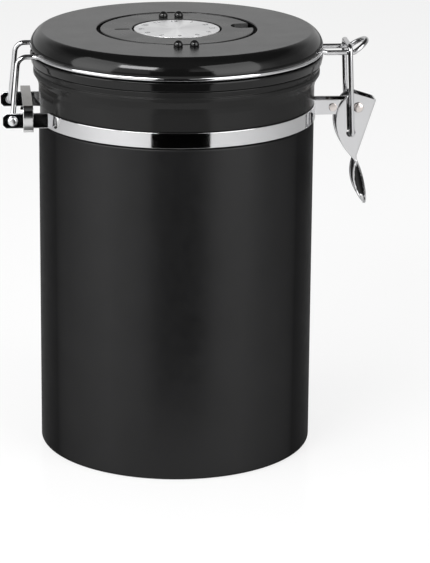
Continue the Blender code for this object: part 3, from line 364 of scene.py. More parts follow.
def spun_mesh(name, profile, steps, mark=None):
    """Closed (radius, height) outline turned about Z; mark(radius, height) gives a face's material."""
    verts, faces, marks, rows = [], [], [], []
    for radius, height in profile:
        if radius < 1e-7:
            rows.append([len(verts)] * steps)
            verts.append((0, 0, height))
        else:
            rows.append([len(verts) + k for k in range(steps)])
            for k in range(steps):
                angle = 2 * math.pi * k / steps
                verts.append((radius * math.cos(angle), radius * math.sin(angle), height))
    for i, row in enumerate(rows):
        following = rows[(i + 1) % len(rows)]
        a, b = profile[i], profile[(i + 1) % len(rows)]
        if a[0] < 1e-7 and b[0] < 1e-7:
            continue
        which = mark((a[0] + b[0]) / 2, (a[1] + b[1]) / 2) if mark else 0
        for k in range(steps):
            ahead = (k + 1) % steps
            corners = [row[k], row[ahead], following[ahead], following[k]]
            faces.append([v for n, v in enumerate(corners) if v not in corners[:n]])
            marks.append(which)
    return to_mesh(name, verts, faces, marks if mark else None)


def turned(name, profile, body, node, finish, steps=192, mark=None):
    """Piece turned about Z from an outline."""
    mesh = spun_mesh(name, supported(profile), steps, mark)
    return finish_object(name, mesh, body, node, finish)


def along_y(place):
    """Matrix that lays a piece turned about Z along Y at a place."""
    return Matrix.Translation(place) @ Matrix.Rotation(math.radians(90), 4, "X")


def route_through(corners, radii, steps):
    """Open 3-D route with its corners turned on arcs."""
    out = [Vector(corners[0])]
    for before, corner, after, radius in zip(corners, corners[1:], corners[2:], radii[1:]):
        before, corner, after = Vector(before), Vector(corner), Vector(after)
        back, ahead = (before - corner).normalized(), (after - corner).normalized()
        half = back.angle(ahead) / 2
        if radius == 0 or half > math.radians(89.7):
            out.append(corner)
            continue
        centre = corner + (back + ahead).normalized() * (radius / math.sin(half))
        reach = radius / math.tan(half)
        out += arc_points(centre, corner + back * reach, corner + ahead * reach, steps)
    out.append(Vector(corners[-1]))
    return out


def cleaned(route):
    """Drop points that lie on the one before."""
    out = [route[0]]
    for spot in route[1:]:
        if (spot - out[-1]).length > 2e-5:
            out.append(spot)
    return out


def tube_mesh(name, route, radius, sides):
    """Round wire along a route, its frame carried along without twist."""
    route = cleaned(route)
    tangents = []
    for i in range(len(route)):
        ahead = route[min(i + 1, len(route) - 1)] - route[max(i - 1, 0)]
        tangents.append(ahead.normalized())
    normal = tangents[0].orthogonal().normalized()
    rings = []
    for i, (spot, tangent) in enumerate(zip(route, tangents)):
        normal = (normal - tangent * normal.dot(tangent)).normalized()
        side = tangent.cross(normal)
        rings.append([spot + (normal * math.cos(a) + side * math.sin(a)) * radius
                      for a in (2 * math.pi * k / sides for k in range(sides))])

    def rounded_end(ring, spot, outward):
        """Rings that close a wire's end with a slight dome."""
        extra = []
        for share in (0.25, 0.5, 0.75, 0.92):
            lift = math.sin(share * math.pi / 2) * radius * 0.35
            shrink = math.cos(share * math.pi / 2) ** 0.6
            extra.append([spot + (p - spot) * shrink + outward * lift for p in ring])
        return extra

    head = rounded_end(rings[0], route[0], -tangents[0])
    tail = rounded_end(rings[-1], route[-1], tangents[-1])
    return lofted_mesh(name, head[::-1] + rings + tail)


def lofted_mesh(name, sections):
    """Closed solid through sections that have equally many points."""
    size = len(sections[0])
    verts = [p for section in sections for p in section]
    faces = []
    for i in range(len(sections) - 1):
        for k in range(size):
            ahead = (k + 1) % size
            faces.append((i * size + k, i * size + ahead, (i + 1) * size + ahead, (i + 1) * size + k))
    faces.append(tuple(range(size))[::-1])
    faces.append(tuple((len(sections) - 1) * size + k for k in range(size)))
    return to_mesh(name, verts, faces)


def mesh_of(name, bm):
    """Turn a bmesh into a mesh and free it."""
    mesh = bpy.data.meshes.new(name)
    bm.to_mesh(mesh)
    bm.free()
    return mesh


def cylinder_cutter(radius, start, end, sides):
    """Closed cylinder between two points."""
    start, end = Vector(start), Vector(end)
    bm = bmesh.new()
    bmesh.ops.create_cone(bm, cap_ends=True, segments=sides, radius1=radius, radius2=radius,
                          depth=(end - start).length)
    bm.transform((end - start).to_track_quat("Z", "Y").to_matrix().to_4x4())
    bmesh.ops.translate(bm, verts=bm.verts, vec=(start + end) / 2)
    return mesh_of("cutter", bm)


def box_cutter(low, high):
    """Closed box between two corners."""
    low, high = Vector(low), Vector(high)
    place = Matrix.Translation((low + high) / 2) @ Matrix.Diagonal((*(high - low), 1))
    bm = bmesh.new()
    bmesh.ops.create_cube(bm, size=1, matrix=place)
    return mesh_of("cutter", bm)


def evaluated(thing):
    """Mesh of an object as its modifiers or letters make it, without materials."""
    bpy.context.view_layer.update()
    graph = bpy.context.evaluated_depsgraph_get()
    mesh = bpy.data.meshes.new_from_object(thing.evaluated_get(graph))
    mesh.materials.clear()
    return mesh


def bored(mesh, cutters):
    """Cut a mesh with closed meshes and return the result."""
    base = linked("blank", mesh)
    tools = []
    for cutter in cutters:
        tools.append(linked("tool", cutter))
        modifier = base.modifiers.new("cut", "BOOLEAN")
        modifier.object = tools[-1]
        modifier.solver = "EXACT"
    result = evaluated(base)
    for thing in [base] + tools:
        bpy.data.objects.remove(thing)
    return result


def on_circle(radius, degrees, height):
    """Point at an angle from +X on a level circle about Z."""
    angle = math.radians(degrees)
    return Vector((radius * math.cos(angle), radius * math.sin(angle), height))


def fan(degrees, steps):
    """Angles from 0 up to degrees in equal steps."""
    return [math.radians(degrees) * step / steps for step in range(steps + 1)]


def heights(node):
    """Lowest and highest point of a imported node."""
    low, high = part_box(node)
    return low[2], high[2]


# Can and collar.
def can_mark(radius, height):
    """1 on the bare inside, 0 on the coated outside."""
    inside = radius < CAN_R - WALL * 0.6 and height > 0.0004
    if height > SHOULDER - 0.0006:
        inside = radius < NECK_R - WALL * 0.5
    return int(inside)


def make_can():
    """Drawn can: foot, wall, shoulder and neck, its mouth open."""
    foot_in, neck_in, can_in = 0.0525, NECK_R - WALL, CAN_R - WALL
    outline = [(0, 0), (CAN_R, 0), (CAN_R, SHOULDER), (NECK_R, SHOULDER), (NECK_R, MOUTH)]
    radii = [0, 0.0015, 0.0008, 0.0002, 0.00035]
    outline += [(neck_in, MOUTH), (neck_in, SHOULDER - WALL), (can_in, SHOULDER - WALL)]
    radii += [0.00035, 0.0003, 0.0004]
    outline += [(can_in, 0.0009), (foot_in, 0.0009), (foot_in - 0.0012, 0.0013), (0, 0.0013)]
    radii += [0.0014, 0.0006, 0.0006, 0]
    profile = fillet(outline, radii, 6)
    turned("can", profile, "canister", "body_shell", [COAT, INSIDE_STEEL], 256, can_mark)


def make_collar():
    """Collar over the neck: band groove, waist and flared lip."""
    bore, groove = NECK_R + 0.0003, 0.0595
    low, step = SHOULDER + 0.0003, 0.1543
    lip, flare, lip_low = 0.0623, 0.0631, 0.1666
    outline = [(bore, low), (groove, low), (groove, step), (CAN_R, step)]
    radii = [0.0002, 0.0002, 0.0002, 0.0003]
    outline += [(CAN_R, 0.1618), (0.06045, 0.1641), (lip - 0.0005, lip_low), (lip, lip_low + 0.0007)]
    radii += [0.004, 0.003, 0.0006, 0.0009]
    outline += [(lip, 0.1688), (lip - 0.0005, 0.1691), (flare - 0.0005, 0.1713)]
    radii += [0.0003, 0.0003, 0.0008]
    outline += [(flare - 0.0006, COLLAR_TOP), (bore, COLLAR_TOP)]
    radii += [0.0003, 0.0003]
    turned("collar", fillet(outline, radii, 5), "canister", "rim_collar", COLLAR, 256)


# Lid.
def make_lid_shell():
    """Lid: skirt, wire groove, rounded crown, recess and hollow, with two notches for the rails."""
    half = WIRE_R + 0.0003
    floor = WIRE_RING - half
    low, high = WIRE_Z - half, WIRE_Z + half
    outline = [(0.0588, LID_BOTTOM), (LID_R - 0.0006, LID_BOTTOM), (LID_R, low - 0.0008), (LID_R, low)]
    radii = [0.0002, 0.0005, 0.001, 0.0003]
    outline += [(floor, low), (floor, high), (LID_R, high)]
    radii += [0.0007, 0.0007, 0.00035]
    profile = fillet(outline, radii, 5)
    crown_in, crown_wide, crown_tall = 0.0586, 0.005, 0.0072
    crown = [(crown_in + crown_wide * abs(math.cos(angle)) ** 1.4,
              LID_TOP - crown_tall * (1 - math.sin(angle))) for angle in fan(90, 20)]
    inner = [(RECESS_R, LID_TOP), (RECESS_R, RECESS_Z), (0.0039, RECESS_Z), (0.0039, 0.1796)]
    inner += [(RECESS_R + 0.0022, 0.1796), (RECESS_R + 0.0022, 0.1838), (0.0588, 0.1838)]
    inner = fillet([(0.059, LID_TOP)] + inner + [(0.0588, 0.175)], [0, 0.0005] + [0.0003] * 6 + [0], 4)
    mesh = spun_mesh("lid_shape", supported(profile + crown + inner[1:-1]), 256)
    notches = [box_cutter((0.0607, rail - 0.0016, 0.1740), (0.066, rail + 0.0016, low + 0.0003))
               for rail in (-RAIL_Y, RAIL_Y)]
    finish_object("lid_cover", bored(mesh, notches), "lid", "lid_shell", LID)


def make_date_ring():
    """Ring in the recess, with a pointer slot, a finger notch and two stud holes."""
    outline = [(0.012, 0.1821), (RING_R, 0.1821), (RING_R, RING_Z), (RING_IN, RING_Z)]
    outline += [(RING_IN, 0.1835), (0.012, 0.1835)]
    profile = supported(fillet(outline, [0.0002, 0.0003, 0.0004, 0.0003, 0.0001, 0.0002], 5))
    mesh = spun_mesh("date_ring_shape", profile, 192)
    cutters = [pointer_mesh(0.0009, RING_Z - 0.0006, RING_Z + 0.001), notch_cutter()]
    for angle in RING_STUD_ANGLES:
        cutters.append(cylinder_cutter(0.0012, on_circle(RING_STUD_CIRCLE, angle, RING_Z - 0.0015),
                                       on_circle(RING_STUD_CIRCLE, angle, RING_Z + 0.001), 32))
    finish_object("date_ring_cover", bored(mesh, cutters), "ring", "date_ring", RING)
    paint = pointer_mesh(0.00088, RING_Z - 0.0007, RING_Z - 0.00004)
    finish_object("pointer_paint", paint, "ring", None, PAINT)


def pointer_mesh(half, low, high):
    """Straight bar with round ends, where the ring's pointer is."""
    outline = []
    for first, middle in ((-90, POINTER_END - half), (90, POINTER_START + half)):
        for step in range(13):
            angle = math.radians(first + 180 * step / 12)
            outline.append((middle + half * math.cos(angle), half * math.sin(angle)))
    turn = Matrix.Rotation(math.radians(POINTER_ANGLE), 4, "Z")
    ends = [[turn @ Vector((x, y, z)) for x, y in outline] for z in (low, high)]
    return lofted_mesh("pointer", ends)


def notch_cutter():
    """Finger notch: round end towards the dial, floor that rises to the near side."""
    half, start, end, steps = NOTCH_HALF, NOTCH_START, RING_R + 0.0012, 24
    outline = [(end, -half)]
    for step in range(steps + 1):
        angle = math.radians(-90 - 180 * step / steps)
        outline.append((start + 0.0034 * (1 + math.cos(angle)), half * math.sin(angle)))
    outline.append((end, half))
    turn = Matrix.Rotation(math.radians(NOTCH_ANGLE), 4, "Z")
    low = []
    for x, y in outline:
        depth = 0.0004 + 0.0015 * (y + half) / (2 * half)
        inner = x if x >= end else start + (x - start) * 0.95 + 0.0002
        low.append(turn @ Vector((inner, y * 0.95, RING_Z - depth)))
    high = [turn @ Vector((x, y, RING_Z + 0.001)) for x, y in outline]
    middle = [turn @ Vector((x, y, RING_Z - 0.0002)) for x, y in outline]
    return lofted_mesh("notch", [low, middle, high])


def make_dial():
    """Disc with plain numbers 1 to 12 round it."""
    dial_low, dial_high = heights("dial_disc")
    outline = [(0, dial_low), (DIAL_R, dial_low), (DIAL_R, dial_high), (0, dial_high)]
    turned("dial_face", fillet(outline, [0, 0.0001, 0.0002, 0], 4), "lid", "dial_disc", DIAL)
    for number in range(1, 13):
        curve = bpy.data.curves.new(f"numeral_{number}", "FONT")
        curve.body = str(number)
        curve.size = NUMERAL_SIZE
        curve.align_x, curve.align_y = "CENTER", "CENTER"
        curve.extrude = NUMERAL_RELIEF
        text = linked("numeral", curve)
        mesh = evaluated(text)
        bpy.data.objects.remove(text)
        angle = 90 - 30 * number
        place = Matrix.Translation(on_circle(NUMERAL_CIRCLE, angle, dial_high + NUMERAL_RELIEF))
        mesh.transform(place @ Matrix.Rotation(math.radians(angle - 90), 4, "Z"))
        finish_object(f"numeral_{number}", mesh, "lid", None, INK)


def stud_profile():
    """Domed stud on a short pin."""
    pin, dome, centre = 0.0009, 0.002, 0.0006
    profile = [(0, -0.0012), (pin, -0.0012), (pin, 0.0001), (0.0019, 0.0001)]
    for step in range(17):
        angle = math.radians(-8.6 + 98.6 * step / 16)
        profile.append((dome * abs(math.cos(angle)), centre + dome * math.sin(angle)))
    profile[-1] = (0, centre + dome)
    return profile


def make_studs():
    """Two studs on the lid and two on the ring."""
    for name, body, circle, angle, height in (
            ("index_stud_a", "lid", LID_STUD_CIRCLE, LID_STUD_ANGLES[0], LID_TOP),
            ("index_stud_b", "lid", LID_STUD_CIRCLE, LID_STUD_ANGLES[1], LID_TOP),
            ("ring_stud_a", "ring", RING_STUD_CIRCLE, RING_STUD_ANGLES[0], RING_Z),
            ("ring_stud_b", "ring", RING_STUD_CIRCLE, RING_STUD_ANGLES[1], RING_Z)):
        mesh = spun_mesh(name + "_shape", stud_profile(), 48)
        mesh.transform(Matrix.Translation(on_circle(circle, angle, height)))
        finish_object(name + "_cover", mesh, body, name, STUD)


# Inside of the lid.
def make_lid_inside():
    """Liner and gasket."""
    low = 0.1701
    liner = [(0.0063, low), (0.0495, low), (0.0495, 0.1746), (0.0584, 0.1746), (0.0584, 0.1791)]
    liner += [(0.0566, 0.1791), (0.0566, 0.1764), (0.0477, 0.1764), (0.0477, low + 0.0018)]
    liner += [(0.0063, low + 0.0018)]
    shift = heights("lid_liner")[0] - low
    liner = [(r, z + shift) for r, z in liner]
    turned("liner_cover", fillet(liner, [0.0004, 0.0008] + [0.0003] * 8, 4), "lid", "lid_liner", INNER)
    low, high = heights("lid_gasket")
    gasket = [(0.0498, low + 0.0006), (0.0550, low + 0.0006), (0.0556, low)]
    gasket += [(0.0584, low), (0.0584, high), (0.0498, high)]
    turned("gasket_cover", fillet(gasket, 0.0004, 4), "lid", "lid_gasket", SILICONE)


def make_valve():
    """Valve cup with its flap and paper, the dial's hub and its clip."""
    low, high = heights("valve_body")
    under = low + 0.0042
    seat = under + 0.0003 + 0.0018
    cup = [(0, low), (0.0095, low), (0.0095, under), (0.006, under), (0.006, high), (0.005, high)]
    cup += [(0.005, seat), (0.0028, seat), (0.0028, under - 0.001), (0.0085, under - 0.001)]
    cup += [(0.0085, low + 0.001), (0, low + 0.001)]
    radii = [0, 0.0007, 0.0002, 0.0001, 0.0003, 0.0003] + [0.0001] * 5 + [0]
    profile = supported(fillet(cup, radii, 4))
    holes = []
    for angle in range(0, 360, 60):
        holes.append(cylinder_cutter(0.0012, on_circle(0.005, angle, low - 0.001),
                                     on_circle(0.005, angle, low + 0.0015), 32))
    mesh = bored(spun_mesh("valve_shape", profile, 96), holes)
    finish_object("valve_cup", mesh, "lid", "valve_body", INNER)
    for name, node, body, finish, slot, radius, edge in (
            ("valve_flap", "valve_disc", "valve", SILICONE, "silicone", 0.0045, 0.0002),
            ("valve_paper", "valve_filter", "lid", FILTER, "filter", 0.0082, 0.0001)):
        bottom, top = heights(node)
        disc = [(0, bottom), (radius, bottom), (radius, top), (0, top)]
        turned(name, fillet(disc, [0, edge, edge, 0], 3), body, node, finish, 72)
    low, high = heights("dial_hub")
    stem_r, plate_r, plate = 0.0036, 0.0185, high - 0.0010
    hub = [(0, low), (stem_r, low), (stem_r, plate), (plate_r, plate), (plate_r, high), (0, high)]
    turned("dial_carrier", fillet(hub, [0, 0.0004, 0.0003, 0.0002, 0.0002, 0], 4), "lid", "dial_hub",
           INNER, 128)
    low, high = heights("hub_clip")
    washer = [(0.00375, low), (0.0075, low), (0.0075, high), (0.00375, high)]
    turned("hub_washer", fillet(washer, 0.0001, 3), "lid", "hub_clip", STEEL, 96)


# Strips: bands and keeper, with their rivets.
def strip_sections(stations, width_dir):
    """Rounded rectangles along stations of (place, half width)."""
    width_dir = Vector(width_dir)
    places = [spot for spot, half in stations]
    sections = []
    for i, (spot, half) in enumerate(stations):
        ahead = places[min(i + 1, len(places) - 1)] - places[max(i - 1, 0)]
        across = ahead.normalized().cross(width_dir).normalized()
        t = STRIP_T / 2
        corners = [(-t, -half), (t, -half), (t, half), (-t, half)]
        outline = [Vector(p) for p in fillet(corners, STRIP_EDGE, 3)]
        dense = []
        for n, (first, second) in enumerate(zip(outline, outline[1:] + outline[:1])):
            dense.append(first)
            if n % 4 == 3:  # a corner has 4 points, then a side starts
                share = min(0.2, SUPPORT / (second - first).length)
                dense += [first.lerp(second, share), second.lerp(first, share)]
        sections.append([spot + across * u + width_dir * v for u, v in dense])
    return sections


def band_stations(side):
    """A hinge ear, the arc round the neck and a latch arm."""
    half, turn = BAND_H / 2, 0.00045
    ear_x = -math.sqrt(BAND_R ** 2 - EAR_Y ** 2)
    arm_x = math.sqrt(BAND_R ** 2 - ARM_Y ** 2)
    ear_end = ear_x - 0.0195
    ear_angle, arm_angle = math.acos(ear_x / BAND_R), math.asin(ARM_Y / BAND_R)
    bend = 2 * turn / BAND_R
    corners = [(ear_end, EAR_Y, 0), (ear_x, EAR_Y, 0)]
    steps = 110
    for step in range(steps + 1):
        angle = ear_angle - bend - (ear_angle - arm_angle - 2 * bend) * step / steps
        corners.append((BAND_R * math.cos(angle), BAND_R * math.sin(angle), 0))
    corners += [(arm_x, ARM_Y, 0), (PIVOT.x, ARM_Y, 0)]
    radii = [0, turn] + [0] * (steps + 1) + [turn, 0]
    stations = [(spot, half) for spot in cleaned(route_through(corners, radii, 8))]
    chamfer = 0.0014
    stations[:1] = [(Vector((ear_end, EAR_Y, 0)), half - chamfer),
                    (Vector((ear_end + chamfer, EAR_Y, 0)), half)]
    tip = 0.0032
    stations[-1] = (stations[-1][0], tip)
    for angle in fan(83, 12)[1:]:
        spot = Vector((PIVOT.x + tip * math.sin(angle), ARM_Y, 0))
        stations.append((spot, tip * math.cos(angle)))
    lift = Vector((0, 0, BAND_Z))
    return [(Vector((spot.x, side * spot.y, 0)) + lift, wide) for spot, wide in stations]


def make_bands():
    """Two half bands, punched for the lid's wire and both rivets."""
    punched = ((HINGE.x, EAR_Y, 0.002), (BAND_RIVET_X, ARM_Y, 0.0014), (PIVOT.x, ARM_Y, 0.0018))
    for name, node, side in (("band_front", "front_band", -1), ("band_rear", "rear_band", 1)):
        mesh = lofted_mesh(name, strip_sections(band_stations(side), (0, 0, 1)))
        reach = Vector((0, 0.001, 0))
        holes = []
        for x, y, radius in punched:
            middle = Vector((x, side * y, BAND_Z))
            holes.append(cylinder_cutter(radius, middle - reach, middle + reach, 40))
        finish_object(name, bored(mesh, holes), "canister", node, STEEL, 40)


def make_keeper():
    """Clip over the ears, its front leg leaning out a little and its feet turned in."""
    low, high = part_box("hinge_keeper")
    top, foot, leg = high[2] - STRIP_T / 2, low[2] + STRIP_T / 2, high[1] - STRIP_T / 2
    end = leg - 0.0016
    out, back = leg + 0.0010, leg - 0.0004
    corners = [(0, -end, foot), (0, -out, foot), (0, -back, top)]
    corners += [(0, leg, top), (0, leg, foot), (0, end, foot)]
    route = route_through(corners, [0, 0.0009, 0.0026, 0.0026, 0.0009], 10)
    middle = Vector(((low[0] + high[0]) / 2, 0, 0))
    stations = [(spot + middle, (high[0] - low[0]) / 2) for spot in cleaned(route)]
    mesh = lofted_mesh("keeper", strip_sections(stations, (1, 0, 0)))
    # Faces that look up take the darker steel: painted shade on the keeper's top.
    for face in mesh.polygons:
        face.material_index = int(face.normal.z > 0.8)
    finish_object("keeper", mesh, "canister", "hinge_keeper", [KEEPER_STEEL, KEEPER_TOP_SHADE], 40)


def make_rivets():
    """Flat rivet through the arms and the lever's domed pivot."""
    shank, head, grip, end = 0.0011, 0.0018, 0.00425, 0.00475
    flat = [(0, -end), (head, -end), (head, -grip), (shank, -grip)]
    flat += [(shank, grip), (head, grip), (head, end), (0, end)]
    mesh = spun_mesh("rivet_flat", fillet(flat, [0, 0.00018, 0.0001, 0, 0, 0.0001, 0.00018, 0], 4), 48)
    mesh.transform(along_y((BAND_RIVET_X, 0, BAND_Z)))
    finish_object("rivet_flat", mesh, "canister", "band_rivet", RIVET_STEEL)
    grip, head, tall = 0.00535, 0.0023, 0.00085
    dome = [(head * math.cos(angle) ** 0.9, grip + tall * math.sin(angle)) for angle in fan(90, 10)]
    profile = [(0.0015, grip)] + dome[:-1] + [(0, grip + tall)]
    profile = [(r, -z) for r, z in reversed(profile)] + profile
    mesh = spun_mesh("rivet_pivot", profile, 48)
    mesh.transform(along_y(PIVOT))
    finish_object("rivet_pivot", mesh, "canister", "lever_rivet", RIVET_STEEL)


# Lever.
def lever_stations():
    """Place on the web, lean, depth of the sides, half width and dish, from the top to the tip."""
    lean = math.radians(18)
    spot = Vector((0.0874, 0, BAND_Z + 0.003))
    down = Vector((-math.sin(lean), 0, -math.cos(lean)))
    thin, cheek_deep, tab_deep, swell = 0.0013, 0.0149, 0.0049, 0.7
    length, steps, deepest = 0.0262, 64, 0.0088
    stations = []
    for step in range(steps + 1):
        along = length * step / steps
        reach = 0.0154 if along < deepest else 0.0189
        share = min(1.0, abs(along - deepest) / reach)
        depth = max(thin, cheek_deep * (1 - share ** 2) ** swell)
        stations.append((spot + down * along, lean, depth, CHEEK_OUT, 0.0))
    spot = stations[-1][0] + Vector((0, 0, -0.0016))
    length, steps, tip = 0.0216, 56, 0.0052
    first, last = math.radians(27), math.radians(2)
    for step in range(steps + 1):
        share = step / steps
        along = length * share
        lean = -first + (first - last) * share ** 0.8
        inset = max(0.0, tip - (length - along)) / tip
        width = CHEEK_OUT * max(0.3, math.sqrt(max(0.0, 1 - inset ** 2)))
        leaf = min(1.0, abs(2 * share - 1))
        depth = max(thin, tab_deep * (1 - leaf ** 2) ** swell)
        stations.append((spot.copy(), lean, depth, width, TAB_DISH * (1 - leaf ** 2)))
        spot = spot + Vector((-math.sin(lean), 0, -math.cos(lean))) * (length / steps)
    return stations


def lever_section(spot, lean, depth, half, dish):
    """Bent sheet: the web outside, a side at each edge, its bends round."""
    inward = Vector((-math.cos(lean), 0, math.sin(lean)))
    wall = min(0.0008, half / 2)
    bend = min(0.0009, depth * 0.5, half * 0.5)
    points = [(0, -half), (depth, -half), (depth, wall - half), (wall, wall - half)]
    points += [(wall, half - wall), (depth, half - wall), (depth, half), (0, half)]
    edge = min(0.00025, wall * 0.4)
    radii = [bend, edge, edge, bend * 0.4, bend * 0.4, edge, edge, bend]
    outline = fillet(points, radii, 4)
    dense = []
    for (u, v), (next_u, next_v) in zip(outline, outline[1:] + outline[:1]):
        pieces = 16 if abs(next_u - u) > 1e-9 and abs(next_v - v) < 1e-9 else 1
        dense += [(u + (next_u - u) * n / pieces, v + (next_v - v) * n / pieces)
                  for n in range(pieces)]
    out = []
    for into, across in dense:
        if dish and abs(across) > half - wall * 1.05:
            share = max(0.0, min(1.0, (into - 0.0007) / max(0.001, depth - 0.0014)))
            across -= math.copysign(dish * 4 * share * (1 - share), across)
        out.append(spot + inward * into + Vector((0, across, 0)))
    return out


def make_lever():
    """Lever with its pivot and latch holes, the tab's hollow darkened with painted shade."""
    mesh = lofted_mesh("lever", [lever_section(*station) for station in lever_stations()])
    reach = Vector((0, CHEEK_OUT + 0.001, 0))
    holes = [cylinder_cutter(0.00165, PIVOT - reach, PIVOT + reach, 48)]
    holes.append(cylinder_cutter(0.002, LATCH_HOLE - reach, LATCH_HOLE + reach, 48))
    mesh = bored(mesh, holes)
    # Faces in the tab's hollow take the near-black steel: painted shade.
    for face in mesh.polygons:
        middle = face.center
        hollow = abs(middle.y) < CHEEK_OUT - 0.3 * TAB_DISH and middle.y * face.normal.y > 0.0005
        face.material_index = int(hollow and 0.1112 < middle.z < 0.1240)
    finish_object("lever", mesh, "lever", "latch_lever", [STEEL, TAB_HOLLOW_SHADE], 40)


# Wires.
def make_latch_wire():
    """Inverted U, its ends turned into the lever."""
    leg, low, high = 0.0093, LATCH_HOLE.z, 0.1786
    end, cross = leg - WIRE_R - 0.0043, 0.0747
    corners = [(LATCH_HOLE.x, -end, low), (LATCH_HOLE.x, -leg, low), (cross, -leg, high)]
    corners += [(cross, leg, high), (LATCH_HOLE.x, leg, low), (LATCH_HOLE.x, end, low)]
    route = route_through(corners, [0, 0.0013, 0.0026, 0.0026, 0.0013], 12)
    mesh = tube_mesh("latch_bail", route, WIRE_R, 24)
    finish_object("latch_bail", mesh, "latch", "latch_wire", STEEL)


def lid_wire_half(side):
    """Hinge end, leg, half ring, rail and half loop."""
    ring, height = WIRE_RING, WIRE_Z
    ear_in, ear_out = EAR_Y - STRIP_T / 2, EAR_Y + STRIP_T / 2
    leg_y, rail_y = 0.0147, RAIL_Y

    def leaving(angle, spacing):
        """Where the ring's tangent at an angle is a spacing off the middle."""
        return ring * math.cos(angle) + math.tan(angle) * (ring * math.sin(angle) - spacing)

    corners = [(HINGE.x, ear_out + 0.0008, HINGE.z), (HINGE.x, ear_in - 0.0003 - WIRE_R, HINGE.z)]
    corners.append((-0.0693, leg_y, height))
    radii = [0, 0.0014, 0.0042]
    first = math.pi - math.asin(leg_y / ring) - 1.5 * 0.0036 / ring
    last = math.asin(rail_y / ring) + 1.5 * 0.0022 / ring
    corners.append((leaving(first, leg_y), leg_y, height))
    radii.append(0.0036)
    steps = 110
    for step in range(steps + 1):
        angle = first + (last - first) * step / steps
        corners.append((ring * math.cos(angle), ring * math.sin(angle), height))
        radii.append(0)
    low = height - 0.0016
    corners += [(leaving(last, rail_y), rail_y, height - 0.0008), (LID_R + 0.0012, rail_y, low)]
    corners.append((0.0768, rail_y, low))
    radii += [0.0016, 0.0018, 0.0018]
    slope = Vector((0.0061, 0, 0.0043))
    tip = Vector((0.0829, 0, low + 0.0043))
    corners.append(tip - slope.normalized() * rail_y + Vector((0, rail_y, 0)))
    radii.append(0)
    route = route_through(corners, radii, 9)
    for angle in fan(90, 12)[1:]:
        back = slope.normalized() * (rail_y * (1 - math.sin(angle)))
        route.append(tip - back + Vector((0, rail_y * math.cos(angle), 0)))
    return [Vector((spot.x, side * spot.y, spot.z)) for spot in route]


def make_lid_wire():
    """The whole wire, with a head on each hinge end."""
    mesh = tube_mesh("lid_bail", lid_wire_half(-1) + lid_wire_half(1)[-2::-1], WIRE_R, 24)
    inside = EAR_Y + STRIP_T / 2 + 0.0003
    head_r, head_tall, base = 0.0021, 0.0012, inside + 0.0001
    profile = [(0, inside - 0.0002), (0.0016, inside - 0.0002), (head_r, base)]
    for angle in fan(90, 10)[1:]:
        profile.append((head_r * math.cos(angle), base + head_tall * math.sin(angle) ** 0.85))
    profile[-1] = (0, profile[-1][1])
    bm = bmesh.new()
    bm.from_mesh(mesh)
    for side in (-1, 1):
        head = spun_mesh("head", profile, 40)
        turn = Matrix(((1, 0, 0, HINGE.x), (0, 0, side, 0), (0, 1, 0, HINGE.z), (0, 0, 0, 1)))
        head.transform(turn)
        head.polygons.foreach_set("material_index", [1] * len(head.polygons))
        bm.from_mesh(head)
    bmesh.ops.recalc_face_normals(bm, faces=bm.faces)
    joined = mesh_of("lid_bail", bm)
    finish_object("lid_bail", joined, "lid", "lid_wire", [STEEL, HEAD_STEEL])


# Stage, light and camera. The stops are (place, level) pairs of the studio's two ramps.
FLOOR_WHITE, FLOOR_GREY, FLOOR_HALF = 0.75, 0.64, 6.0
CARD_GREY = 0.002
FRONT_TURN = math.radians(-5)
STUDIO_LEVEL = 1.0
AZIMUTH_STOPS = [(0.0, 0.65), (0.18, 0.5), (0.32, 0.3), (0.5, 0.38), (0.68, 0.95), (0.85, 0.9),
                 (1.0, 0.8)]
ELEVATION_STOPS = [(0.0, 0.9), (0.50, 1.0), (0.66, 1.0), (0.74, 0.6), (0.82, 0.08)]
CAMERA_TURNS = (5.834, 15.703, -0.496)
CAMERA_PLACE = (-0.10010, -1.14928, 0.4263)
FOCAL_PX, HEIGHT_PX, SHIFT_PX = 2713, 563, 66.5


def make_floor():
    """Plain pale floor: white to the camera, with the can's soft shadow and a faint reflection."""
    mesh = bpy.data.meshes.new("floor")
    size = FLOOR_HALF
    corners = [(-size, -size, 0), (size, -size, 0), (size, size, 0), (-size, size, 0)]
    mesh.from_pydata(corners, [], [(0, 1, 2, 3)])
    floor = linked("floor", mesh)
    floor.location.z = -0.0002
    mat = bpy.data.materials.new("floor")
    mat.use_nodes = True
    tree = mat.node_tree
    tree.nodes.clear()
    new, link = tree.nodes.new, tree.links.new
    out = new("ShaderNodeOutputMaterial")
    gloss = new("ShaderNodeBsdfGlossy")
    gloss.inputs["Roughness"].default_value = 0.07
    white = new("ShaderNodeEmission")
    white.inputs["Strength"].default_value = 1.0
    path = new("ShaderNodeLightPath")

    def diffuse(level):
        """Matte grey shader."""
        node = new("ShaderNodeBsdfDiffuse")
        node.inputs["Color"].default_value = (level, level, level, 1)
        return node.outputs["BSDF"]

    def mixed(fac, first, second):
        """Mix of two shaders by a number or an output."""
        node = new("ShaderNodeMixShader")
        if isinstance(fac, float):
            node.inputs["Fac"].default_value = fac
        else:
            link(fac, node.inputs["Fac"])
        link(first, node.inputs[1])
        link(second, node.inputs[2])
        return node.outputs["Shader"]

    sheen = mixed(0.2, diffuse(1.0), gloss.outputs["BSDF"])
    seen = mixed(FLOOR_WHITE, sheen, white.outputs["Emission"])
    surface = mixed(path.outputs["Is Camera Ray"], diffuse(FLOOR_GREY), seen)
    link(surface, out.inputs["Surface"])
    mesh.materials.append(mat)


